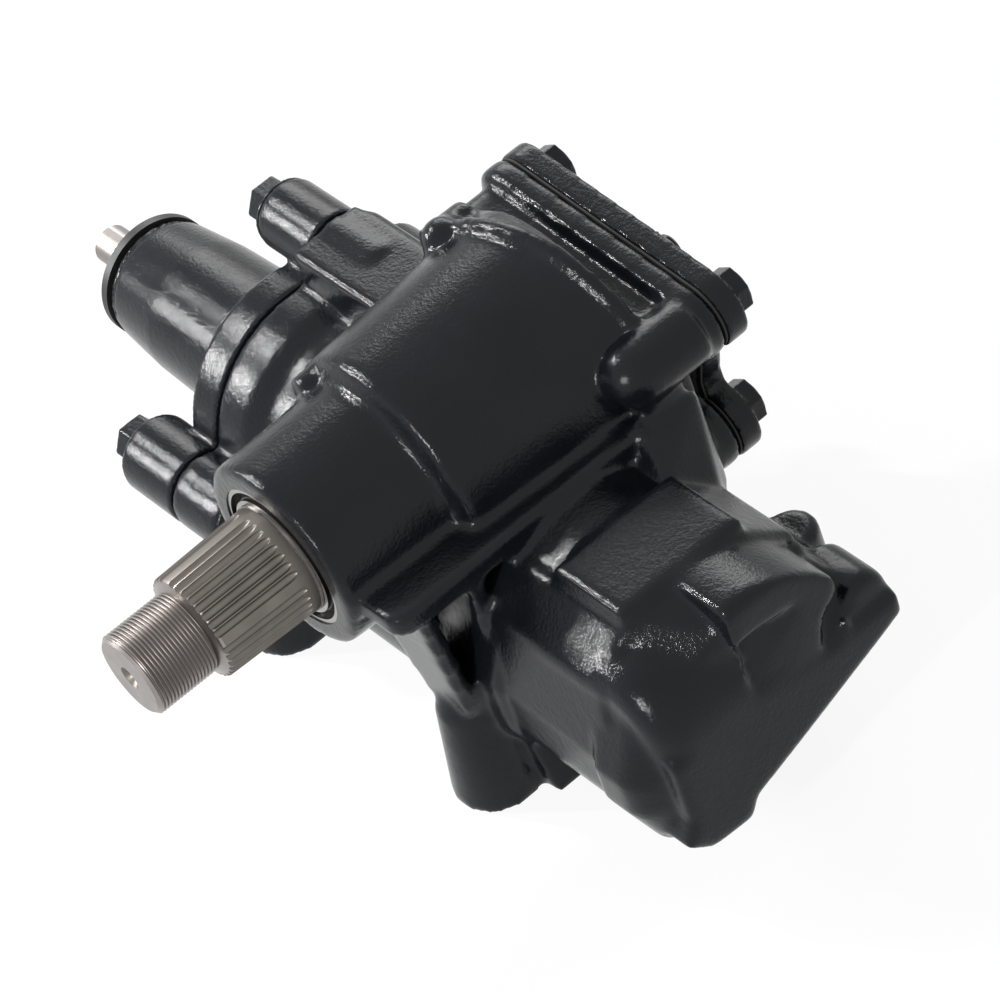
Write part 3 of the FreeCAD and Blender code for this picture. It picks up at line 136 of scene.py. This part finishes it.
# Lamps: a softbox behind the object gives the broad sheen on its tops, and three narrow
# strips give the thin bright lines along the tower, the boss and the shaft. Each has
# its place and its width and height in metres, and its power in watts
LAMPS = {
    "back_softbox": ((-1.25, 0.95, 0.95), (0.9, 0.6), 11),
    "left_strip": ((-1.2, -1.0, 0.7), (0.03, 0.3), 22),
    "high_strip": ((-0.95, -0.42, 1.1), (0.03, 0.2), 15),
    "front_lamp": ((0.55, -1.2, 0.68), (0.03, 0.15), 11),
}
LAMP_AIM = Vector((0, 0, 0.08))
for name, (place, extent, power) in LAMPS.items():
    bpy.ops.object.light_add(type="AREA", location=place)
    lamp = bpy.context.object
    lamp.name = name
    lamp.data.shape = "RECTANGLE"
    lamp.data.size, lamp.data.size_y = extent
    lamp.data.energy = power
    aim = LAMP_AIM - Vector(place)
    lamp.rotation_euler = aim.to_track_quat("-Z", "Y").to_euler()


# Main housing: one sand casting of grey iron, fettled and machined at its joint
# faces and bores, then sprayed with thick gloss black enamel that softens its edges.
# It holds the worm's axis along X, and the sector shaft's axis across it along Y.
# Sizes are in millimetres from here on, and MM turns them to metres
MM = 0.001
WORM_Z, SECTOR_X, SECTOR_Z, CHAMBER_Z = 68, 25, 118, 110


def pick(*pieces):
    """Select these pieces alone, and make the first of them active."""
    bpy.ops.object.select_all(action="DESELECT")
    for piece in pieces:
        piece.select_set(True)
    bpy.context.view_layer.objects.active = pieces[0]


def take_copy(node, name):
    """Copy a CAD node's mesh into a piece of its own, with its corners merged."""
    piece = nodes[node].copy()
    piece.data = nodes[node].data.copy()
    piece.name = name
    piece.data.name = name
    piece.parent = None
    for key in list(piece.keys()):
        del piece[key]
    bpy.context.scene.collection.objects.link(piece)
    pick(piece)
    bpy.ops.object.mode_set(mode="EDIT")
    bpy.ops.mesh.select_all(action="SELECT")
    bpy.ops.mesh.remove_doubles(threshold=0.00001)
    bpy.ops.object.mode_set(mode="OBJECT")
    return piece


def shape(piece, kind, settings):
    """Add a modifier with its settings and apply it at once."""
    bpy.context.view_layer.objects.active = piece
    modifier = piece.modifiers.new(kind.lower(), kind)
    for name, value in settings.items():
        setattr(modifier, name, value)
    bpy.ops.object.modifier_apply(modifier=modifier.name)


def bar(axis, start, radius, length):
    """A round bar from a place along an axis."""
    turns = {"X": (0, math.pi / 2, 0), "Y": (math.pi / 2, 0, 0)}
    steps = {"X": Vector((1, 0, 0)), "Y": Vector((0, 1, 0))}
    middle = Vector(start) + steps[axis] * length / 2
    bpy.ops.object.select_all(action="DESELECT")
    bpy.ops.mesh.primitive_cylinder_add(
        vertices=128, radius=radius * MM, depth=length * MM,
        location=middle * MM, rotation=turns[axis],
    )
    bpy.ops.object.transform_apply(location=True, rotation=True, scale=True)
    return bpy.context.object


def ball(place, radius):
    """A round nose of metal."""
    bpy.ops.object.select_all(action="DESELECT")
    bpy.ops.mesh.primitive_uv_sphere_add(
        segments=32, ring_count=16, radius=radius * MM, location=Vector(place) * MM)
    bpy.ops.object.transform_apply(location=True, rotation=True, scale=True)
    return bpy.context.object


def ramp(corners):
    """A sloping fill of metal: the hull of its corners."""
    bpy.ops.object.select_all(action="DESELECT")
    bpy.ops.mesh.primitive_plane_add(size=1)
    piece = bpy.context.object
    piece.data.clear_geometry()
    piece.data.from_pydata([Vector(corner) * MM for corner in corners], [], [])
    bpy.ops.object.mode_set(mode="EDIT")
    bpy.ops.mesh.select_all(action="SELECT")
    bpy.ops.mesh.convex_hull()
    bpy.ops.object.mode_set(mode="OBJECT")
    return piece


def cast_skin(node, name, grid, passes, keep=1, fills=()):
    """The rounded skin of a painted casting over a node and its fills: a fine even mesh
    on a grid in millimetres, smoothed in some passes, of which a share is kept."""
    piece = take_copy(node, name)
    if fills:
        pick(piece, *fills)
        bpy.ops.object.join()
    shape(piece, "REMESH", {"mode": "VOXEL", "voxel_size": grid * MM})
    shape(piece, "SMOOTH", {"factor": 0.5, "iterations": passes})
    if keep < 1:
        shape(piece, "DECIMATE", {"ratio": keep})
    return piece


def bore(piece, axis, start, radius, length):
    """Machine a clean round bore into a casting."""
    tool = bar(axis, start, radius, length)
    shape(piece, "BOOLEAN", {
        "object": tool, "operation": "DIFFERENCE", "solver": "MANIFOLD",
    })
    bpy.data.objects.remove(tool)


def finish(piece, material, smooth=None):
    """Give a piece one material all over, and smooth shading up to an angle."""
    piece.data.materials.clear()
    piece.data.materials.append(material)
    if smooth is not None:
        pick(piece)
        bpy.ops.object.shade_smooth_by_angle(angle=math.radians(smooth))


# Gloss enamel, sprayed thick on sand cast iron: near black with a cold cast and a sharp
# shine, with soft swells where the spray ran together and the grain of the sand under
# it. The grain is drawn three times as coarse as the real one of 0.4 mm, to show at all,
# and the low IOR keeps the wide lamps from greying the black
TONE_MM, SWELL_MM, GRAIN_MM = 26.3, 4, 4 / 3
ENAMEL_GLOSS = 0.1
black_enamel, tree, shader = new_material(
    "gloss_black_enamel_on_sand_casting", {"IOR": 1.3})
where = add(tree, "ShaderNodeTexCoord").outputs["Object"]
cloud = add(tree, "ShaderNodeTexNoise", {"Scale": 1 / (TONE_MM * MM), "Detail": 3},
            {"Vector": where})
tint = add(tree, "ShaderNodeMix", {
    "data_type": "RGBA", 6: linear("#080a0d"), 7: linear("#15181c"),
}, {0: cloud.outputs["Fac"]})
gloss = add(tree, "ShaderNodeMapRange", {
    "To Min": ENAMEL_GLOSS, "To Max": ENAMEL_GLOSS + 0.08,
}, {"Value": cloud.outputs["Fac"]})
swell = add(tree, "ShaderNodeTexNoise", {"Scale": 1 / (SWELL_MM * MM), "Detail": 1},
            {"Vector": where})
grain = add(tree, "ShaderNodeTexNoise", {
    "Scale": 1 / (GRAIN_MM * MM), "Detail": 3, "Roughness": 0.65,
}, {"Vector": where})
wide = add(tree, "ShaderNodeBump", {"Strength": 0.1, "Distance": 0.8 * MM},
           {"Height": swell.outputs["Fac"]})
fine = add(tree, "ShaderNodeBump", {"Strength": 0.5, "Distance": 0.4 * MM},
           {"Height": grain.outputs["Fac"], "Normal": wide.outputs["Normal"]})
tree.links.new(tint.outputs[2], shader.inputs["Base Color"])
tree.links.new(gloss.outputs["Result"], shader.inputs["Roughness"])
tree.links.new(fine.outputs["Normal"], shader.inputs["Normal"])

# Round metal behind the cover's lower front and upper rear screws, and the neck that
# joins the tower to the cylinder below it
LOWER_NOSE, LOWER_RADIUS, LOWER_LENGTH = (79, 42, 135), 12.5, 26
UPPER_NOSE, UPPER_RADIUS = (-9, 34, 158.5), 8.5
metal = [
    ball(LOWER_NOSE, LOWER_RADIUS), bar("Y", LOWER_NOSE, LOWER_RADIUS, LOWER_LENGTH),
    ball(UPPER_NOSE, UPPER_RADIUS),
    ramp([
        (62, 25, 100), (62, 62, 80), (83, 34, 121), (84, 60, 116), (74, 66, 78),
        (106, 26, 107.5), (108, 44, 93), (100, 52, 82),
    ]),
]
# Plugs that close the bores while the skin is drawn, so that it stays off their walls
plugs = [
    bar("X", (-80.9, 0, WORM_Z), 36, 233.5),
    bar("Y", (SECTOR_X, -84.4, SECTOR_Z), 30, 60),
    bar("Y", (SECTOR_X, -34, SECTOR_Z), 34, 60),
    bar("Y", (SECTOR_X, 18, CHAMBER_Z), 33, 58.4),
]
# Slopes that ease the closed end's front recess, its rear recess and its corner pad
slopes = [
    ramp([
        (158, -7, 72), (158, 27, 72), (158, -7, 98), (158, 27, 98), (166.5, -6, 98),
        (173, -6, 72.5), (174.4, 26, 97), (174.6, 15, 72.5), (174.6, 26, 74),
    ]),
    ramp([
        (156, 24, 65), (156, 46, 65), (156, 46, 84), (156, 30, 82),
        (174.2, 25, 66), (174.2, 36, 66), (163, 47, 82), (167, 30, 81),
    ]),
    ramp([
        (138, -30, 88), (138, -4, 88), (172, -4, 88), (164, -30, 88), (141, -27, 113.4),
        (141, -5, 114.2), (170, -5, 103), (160, -16, 100), (152, -27, 101),
    ]),
]
casting = cast_skin(
    "main_housing", "main_casting", grid=1.54, passes=10, fills=metal + plugs + slopes)
BORES = {
    "piston cylinder": ("X", (-83, 0, WORM_Z), 35.08, 236),
    "dust seal's seat": ("Y", (SECTOR_X, -86, SECTOR_Z), 29.35, 22),
    "bearing's seat": ("Y", (SECTOR_X, -66, SECTOR_Z), 28.05, 36),
    "sector chamber": ("Y", (SECTOR_X, -30.2, SECTOR_Z), 33.05, 60.2),
    "cover's opening": ("Y", (SECTOR_X, 20, CHAMBER_Z), 32.05, 58),
}
for axis, start, radius, length in BORES.values():
    bore(casting, axis, start, radius, length)
finish(casting, black_enamel, smooth=35)
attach(casting, "housing")
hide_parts("main_housing")


# Valve housing: a second iron casting bored for the rotary valve, with four bolt
# bosses and a turned rim, bolted to the main housing and sprayed with it
RIM_BORE = ((-186, 0, WORM_Z), 17.02, 11)
valve_casting = cast_skin("valve_housing", "valve_casting", grid=1.1, passes=6, keep=0.45)
bore(valve_casting, "X", *RIM_BORE)
finish(valve_casting, black_enamel, smooth=35)
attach(valve_casting, "housing")
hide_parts("valve_housing")


# Side cover: a waisted iron plate with four round bosses and the adjuster's boss, which
# closes the sector chamber. It is screwed on over its gasket and sprayed in place
cover = cast_skin("side_cover", "cover_casting", grid=1.0, passes=5, keep=0.5)
finish(cover, black_enamel, smooth=35)
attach(cover, "housing")
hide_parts("side_cover")


# Screws: four to the valve housing and four to the cover, forged from steel with
# hexagon heads on washer faces, and sprayed over with the castings
SCREW_SETS = {"valve_housing_bolts": "valve_screws", "side_cover_bolts": "cover_screws"}
for node, name in SCREW_SETS.items():
    screws = cast_skin(node, name, grid=0.55, passes=3, keep=0.5)
    finish(screws, black_enamel, smooth=35)
    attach(screws, "housing")
    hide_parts(node)


# Cover gasket, pilot ring and cover bushing: a fibre sheet under the cover, a rubber
# ring round the valve housing's pilot, and a bronze bushing pressed into the cover
BLOTCH_MM = 25 / 3


def plain_finish(name, colours, settings, roughness, marks_mm, depth_mm):
    """Two near tones in soft blotches of about 8 mm, as handling and oil leave on bare
    parts, with fine marks of a size and depth in millimetres."""
    material, tree, shader = new_material(name, settings)
    where = add(tree, "ShaderNodeTexCoord").outputs["Object"]
    cloud = add(tree, "ShaderNodeTexNoise", {"Scale": 1 / (BLOTCH_MM * MM), "Detail": 4},
                {"Vector": where})
    tint = add(tree, "ShaderNodeMix", {
        "data_type": "RGBA", 6: linear(colours[0]), 7: linear(colours[1]),
    }, {0: cloud.outputs["Fac"]})
    gloss = add(tree, "ShaderNodeMapRange", {
        "To Min": roughness, "To Max": roughness + 0.12,
    }, {"Value": cloud.outputs["Fac"]})
    marks = add(tree, "ShaderNodeTexNoise", {"Scale": 1 / (marks_mm * MM), "Detail": 2},
                {"Vector": where})
    bump = add(tree, "ShaderNodeBump", {"Strength": 0.4, "Distance": depth_mm * MM},
               {"Height": marks.outputs["Fac"]})
    tree.links.new(tint.outputs[2], shader.inputs["Base Color"])
    tree.links.new(gloss.outputs["Result"], shader.inputs["Roughness"])
    tree.links.new(bump.outputs["Normal"], shader.inputs["Normal"])
    return material


# Compressed fibre is dull and speckled, with flecks of 0.8 mm
fibre = plain_finish(
    "compressed_fibre", ("#171717", "#26241f"), {},
    roughness=0.75, marks_mm=0.8, depth_mm=0.1)
# Moulded nitrile is a soft black with a faint sheen. The texture that its mould leaves
# is drawn four times as coarse as the real one, at 1.2 mm
nitrile = plain_finish(
    "moulded_nitrile", ("#101010", "#1b1b1b"), {"IOR": 1.5},
    roughness=0.42, marks_mm=1.2, depth_mm=0.04)
# Sintered bronze is brownish yellow and full of oil, with pores drawn coarse at 0.4 mm
bronze = plain_finish(
    "sintered_bronze", ("#a9814a", "#8f6b3b"), {"Metallic": 1},
    roughness=0.34, marks_mm=0.4, depth_mm=0.03)
finish(nodes["side_cover_gasket"], fibre)
finish(nodes["valve_housing_seal"], nitrile)
finish(nodes["sector_cover_bushing"], bronze)


# Lash adjuster: a slotted steel screw through the cover, its retainer in the shaft's
# pocket, and a lock nut. The screw and nut are sprayed over with the cover
finish(nodes["lash_adjuster_screw"], black_enamel)
finish(nodes["lash_adjuster_lock_nut"], black_enamel)
# Zinc plate is a pale bluish grey with a soft shine, its crystals drawn coarse at 0.6 mm
zinc = plain_finish(
    "zinc_plated_steel", ("#b9bab8", "#a3a5a6"), {"Metallic": 1},
    roughness=0.26, marks_mm=0.6, depth_mm=0.01)
finish(nodes["lash_adjuster_retainer"], zinc)


# Sector shaft, inner part: a steel forging with three teeth that mesh with the rack
# piston, hardened and ground on its teeth and journals. It is drawn up to the boss face
BOSS_FACE = -84.5
SPLINE_START = BOSS_FACE - 0.9
journals = take_copy("sector_shaft", "pitman_journals")
bpy.ops.object.mode_set(mode="EDIT")
bpy.ops.mesh.select_all(action="SELECT")
bpy.ops.mesh.bisect(
    plane_co=(0, SPLINE_START * MM, 0), plane_no=(0, 1, 0), use_fill=True, clear_inner=True)
bpy.ops.object.mode_set(mode="OBJECT")
# Ground steel is bright and smooth, and its grinding marks, too fine to see, are drawn
# at 0.5 mm so that they only break up its reflections
ground_steel = plain_finish(
    "ground_bearing_steel", ("#aaa7a3", "#918e8a"), {"Metallic": 1},
    roughness=0.2, marks_mm=0.5, depth_mm=0.008)
finish(journals, ground_steel, smooth=30)
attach(journals, "sector")
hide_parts("sector_shaft")


# Pitman spline: a tapered seat hobbed with broad round valleys, which run out before
# a plain collar at the seal. Four valleys are left uncut, so the arm goes on one way
SPLINE_END, THIN_RADIUS, THICK_RADIUS = -124.6, 21.2, 22.2
SHOULDER = [(-125.5, 20.7), (-126.2, 18.4), (-127.6, 16.2)]
VALLEYS, VALLEYS_IN_QUARTER, UNCUT, FIRST_ANGLE = 36, 9, 7, 95
HOB_RADIUS, HOB_STRETCH, HOB_TRAVEL, HOB_TAPER = 1.75, 2.6, 42, 1 / 39
HOB_OUT, HOB_RUN_OUT = 22.35, -93.5


def on_axis(y):
    """A place on the sector shaft's axis, in metres."""
    return Vector((SECTOR_X, y, SECTOR_Z)) * MM


def draw_out(place, radius, steps):
    """Extrude the selected face or ring to each new place and radius in turn."""
    for to, new_radius in steps:
        scale = new_radius / radius
        bpy.ops.mesh.extrude_region_move(
            TRANSFORM_OT_translate={"value": (0, (to - place) * MM, 0)})
        bpy.ops.transform.resize(value=(scale, 1, scale), center_override=on_axis(to))
        place, radius = to, new_radius


bpy.ops.object.select_all(action="DESELECT")
bpy.ops.mesh.primitive_cone_add(
    vertices=144, radius1=THIN_RADIUS * MM, radius2=THICK_RADIUS * MM,
    depth=(SPLINE_START - SPLINE_END) * MM, rotation=(-math.pi / 2, 0, 0),
    location=on_axis((SPLINE_END + SPLINE_START) / 2),
)
bpy.ops.object.transform_apply(location=True, rotation=True, scale=True)
spline = bpy.context.object
spline.name = "pitman_spline"
bpy.ops.object.mode_set(mode="EDIT")
bpy.ops.mesh.select_all(action="DESELECT")
bpy.ops.object.mode_set(mode="OBJECT")
for face in spline.data.polygons:
    face.select = abs(face.center.y / MM - SPLINE_END) < 0.01 and len(face.vertices) > 4
bpy.ops.object.mode_set(mode="EDIT")
bpy.ops.mesh.select_mode(type="FACE")
draw_out(SPLINE_END, THIN_RADIUS, SHOULDER)
bpy.ops.object.mode_set(mode="OBJECT")

# One cut is a long barrel that follows the taper, round where the hob lifts out
bpy.ops.object.select_all(action="DESELECT")
bpy.ops.mesh.primitive_uv_sphere_add(segments=20, ring_count=10, radius=HOB_RADIUS * MM)
hob = bpy.context.object
for point in hob.data.vertices:
    travel = HOB_TRAVEL * MM if point.co.z < -0.01 * MM else 0
    point.co.z = point.co.z * HOB_STRETCH - travel
lean = Matrix.Rotation(math.atan(HOB_TAPER), 4, "Y")
along = Matrix.Rotation(-math.pi / 2, 4, "X")
out = Matrix.Translation(Vector((HOB_OUT, HOB_RUN_OUT, 0)) * MM)
seat = Matrix.Translation(on_axis(0))
cuts = []
for number in range(VALLEYS):
    if number % VALLEYS_IN_QUARTER != UNCUT:
        cut = hob.copy()
        cut.data = hob.data.copy()
        bpy.context.scene.collection.objects.link(cut)
        angle = number * 360 / VALLEYS + FIRST_ANGLE
        turn = Matrix.Rotation(math.radians(angle), 4, "Y")
        cut.data.transform(seat @ turn @ out @ along @ lean)
        cuts.append(cut)
bpy.data.objects.remove(hob)
pick(*cuts)
bpy.ops.object.join()
shape(spline, "BOOLEAN", {
    "object": cuts[0], "operation": "DIFFERENCE", "solver": "MANIFOLD",
})
bpy.data.objects.remove(cuts[0])

# Hobbed steel is grey and dull, and turned steel beside it is paler and shines. The dull
# steel's darker colour is also painted shade: it stands in for the dark reflections between
# the spline's teeth, and for the shade inside the thread's centre drilling. The marks of
# both tools are drawn coarse, at 0.6 and 0.5 mm
dull_steel_and_shade = plain_finish(
    "dull_steel_and_painted_shade", ("#7c7771", "#66625d"), {"Metallic": 1},
    roughness=0.36, marks_mm=0.6, depth_mm=0.03)
turned_steel = plain_finish(
    "turned_shaft_steel", ("#9d9794", "#837d7a"), {"Metallic": 1},
    roughness=0.26, marks_mm=0.5, depth_mm=0.012)
# The spline gets the darker steel, as painted shade for the dark reflections in its teeth,
# and its shoulder gets the turned steel
finish(spline, dull_steel_and_shade, smooth=40)
spline.data.materials.append(turned_steel)
for face in spline.data.polygons:
    face.material_index = int(face.center.y < (SPLINE_END - 0.1) * MM)
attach(spline, "sector")
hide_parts("sector_shaft")


# Threaded end: a fine thread for the arm's nut, turned with rounded crests, with a
# chamfered tip and a centre drilling in its faced end, whose inside is drawn in darker
# steel as painted shade. The thread is drawn a little too long at both ends, and sawn off
# there
PITCH, CREST, ROOT, MEAN = 1.5, 16.7, 15.65, 16.2
TURNS, STEPS, SPARE = 22, 96, 3
TIP, NECK = -153.8, -127.4
TIP_RADIUS, TIP_SLOPE = 14.9, 1.1
DRILL_RADIUS, NECK_RADIUS = 4.7, 14.58
DRILLING = [(TIP, DRILL_RADIUS), (TIP + 1.8, 2.82), (TIP + 8, 2.538)]
PROFILE = [
    (0, ROOT), (0.25, ROOT + 0.15), (0.55, CREST - 0.1), (0.75, CREST),
    (0.95, CREST - 0.1), (1.25, ROOT + 0.15), (PITCH, ROOT),
]
bpy.ops.object.select_all(action="DESELECT")
bpy.ops.mesh.primitive_plane_add(size=1)
thread = bpy.context.object
thread.name = "pitman_thread"
thread.data.clear_geometry()
points = [
    Vector((SECTOR_X, TIP - SPARE + along, SECTOR_Z + radius)) * MM
    for along, radius in PROFILE
]
edges = [(place, place + 1) for place in range(len(PROFILE) - 1)]
thread.data.from_pydata(points, edges, [])
centre = bpy.data.objects.new("thread_axis", None)
centre.location = on_axis(0)
bpy.context.scene.collection.objects.link(centre)
shape(thread, "SCREW", {
    "axis": "Y", "angle": 2 * math.pi, "screw_offset": PITCH * MM, "iterations": TURNS,
    "steps": STEPS, "render_steps": STEPS, "object": centre,
})
bpy.data.objects.remove(centre)
pick(thread)
bpy.ops.object.mode_set(mode="EDIT")
bpy.ops.mesh.select_all(action="SELECT")
bpy.ops.mesh.remove_doubles(threshold=0.00001)
bpy.ops.mesh.select_mode(type="EDGE")
# Each end is sawn square and drawn in to its middle, the tip by way of its drilling
for end, steps in ((TIP, DRILLING), (NECK, [(NECK + 0.01, NECK_RADIUS)])):
    bpy.ops.mesh.select_all(action="SELECT")
    bpy.ops.mesh.bisect(
        plane_co=(0, end * MM, 0), plane_no=(0, 1, 0), threshold=0.0000001,
        clear_inner=end == TIP, clear_outer=end == NECK,
    )
    draw_out(end, MEAN, steps)
    bpy.ops.mesh.merge(type="CENTER")
bpy.ops.mesh.select_all(action="SELECT")
bpy.ops.mesh.normals_make_consistent(inside=False)
bpy.ops.object.mode_set(mode="OBJECT")
# The chamfer: near the tip, what stands out past its slope is turned down to it
for point in thread.data.vertices:
    away = Vector((point.co.x - SECTOR_X * MM, 0, point.co.z - SECTOR_Z * MM))
    limit = (TIP_RADIUS + (point.co.y / MM - TIP) * TIP_SLOPE) * MM
    if away.length > limit:
        point.co += away * (limit / away.length - 1)
finish(thread, turned_steel, smooth=35)
# The inside of the centre drilling gets the darker steel, as painted shade
thread.data.materials.append(dull_steel_and_shade)
for face in thread.data.polygons:
    away = face.center - on_axis(0)
    face.material_index = int(math.hypot(away.x, away.z) < (DRILL_RADIUS - 0.1) * MM)
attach(thread, "sector")
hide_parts("sector_shaft")


# Sector bearings and seals: a drawn needle shell, a lip seal behind its backup washer
# and ring, and the dust seal pressed in last, with the bright ring that its lip runs on
finish(nodes["sector_bearing_shell"], ground_steel)
finish(nodes["sector_bearing_needles"], ground_steel)
finish(nodes["sector_pressure_seal"], nitrile)
finish(nodes["sector_dust_seal_lip"], nitrile)
# Filled PTFE is a waxy brown with a low sheen, its filler's specks drawn at 0.8 mm
ptfe = plain_finish(
    "filled_ptfe", ("#5d4530", "#49372a"), {"IOR": 1.38},
    roughness=0.45, marks_mm=0.8, depth_mm=0.02)
finish(nodes["sector_backup_washer"], ptfe)
# Tempered spring steel is a dark bluish grey from its heat, and only half shiny
spring = plain_finish(
    "tempered_spring_steel", ("#4c4c50", "#3b3b3f"), {"Metallic": 1},
    roughness=0.3, marks_mm=0.5, depth_mm=0.01)
finish(nodes["sector_seal_retaining_ring"], spring)
# Polished steel mirrors its surroundings with sharp edges. Its marks hardly show, and
# are drawn coarse at 0.5 mm, as those of the spring steel are
polished_steel = plain_finish(
    "polished_steel", ("#9d9b99", "#878583"), {"Metallic": 1},
    roughness=0.18, marks_mm=0.5, depth_mm=0.005)
finish(nodes["sector_dust_seal_case"], polished_steel)
finish(nodes["sector_lip_ring"], polished_steel)


# Rack piston: a case hardened steel piston with four rack teeth, its polymer sealing
# ring, the screwed end plug, and the plated ball guide with its clamp
finish(nodes["rack_piston_ring"], ptfe)
for node in ("ball_guide_front_half", "ball_guide_rear_half", "ball_guide_clamp"):
    finish(nodes[node], zinc)
# Case hardened steel is a warm grey with a satin shine, its marks drawn coarse at 0.5 mm
carburised = plain_finish(
    "case_hardened_steel", ("#8f8b86", "#77736f"), {"Metallic": 1},
    roughness=0.28, marks_mm=0.5, depth_mm=0.01)
for node in ("rack_piston", "rack_piston_end_plug"):
    finish(nodes[node], carburised)


# Worm: a ground steel screw running on recirculating balls, held by two needle thrust
# bearings between ground races, and a threaded retainer
for node in ("worm_shaft", "worm_thrust_races", "worm_thrust_bearings"):
    finish(nodes[node], ground_steel)
finish(nodes["worm_bearing_retainer"], carburised)
finish(nodes["recirculating_balls"], polished_steel)


# Rotary valve: a lapped steel sleeve with four polymer rings round it, and the torsion
# bar that lets the input shaft turn a few degrees in it
finish(nodes["valve_sleeve"], ground_steel)
finish(nodes["valve_sleeve_rings"], ptfe)
finish(nodes["torsion_bar"], spring)


# Input shaft: turned bright steel on a needle bearing, with a pressed seal and a soft
# rubber dust ring that turns with it over the valve housing's rim
finish(nodes["input_bearing"], ground_steel)
finish(nodes["input_seal"], nitrile)
finish(nodes["input_dust_ring"], nitrile)
# Turned steel here is a clean grey with a soft shine, its marks drawn coarse at 0.5 mm
stub_steel = plain_finish(
    "turned_stub_steel", ("#96918e", "#7f7a77"), {"Metallic": 1},
    roughness=0.28, marks_mm=0.5, depth_mm=0.012)
finish(nodes["input_shaft"], stub_steel)
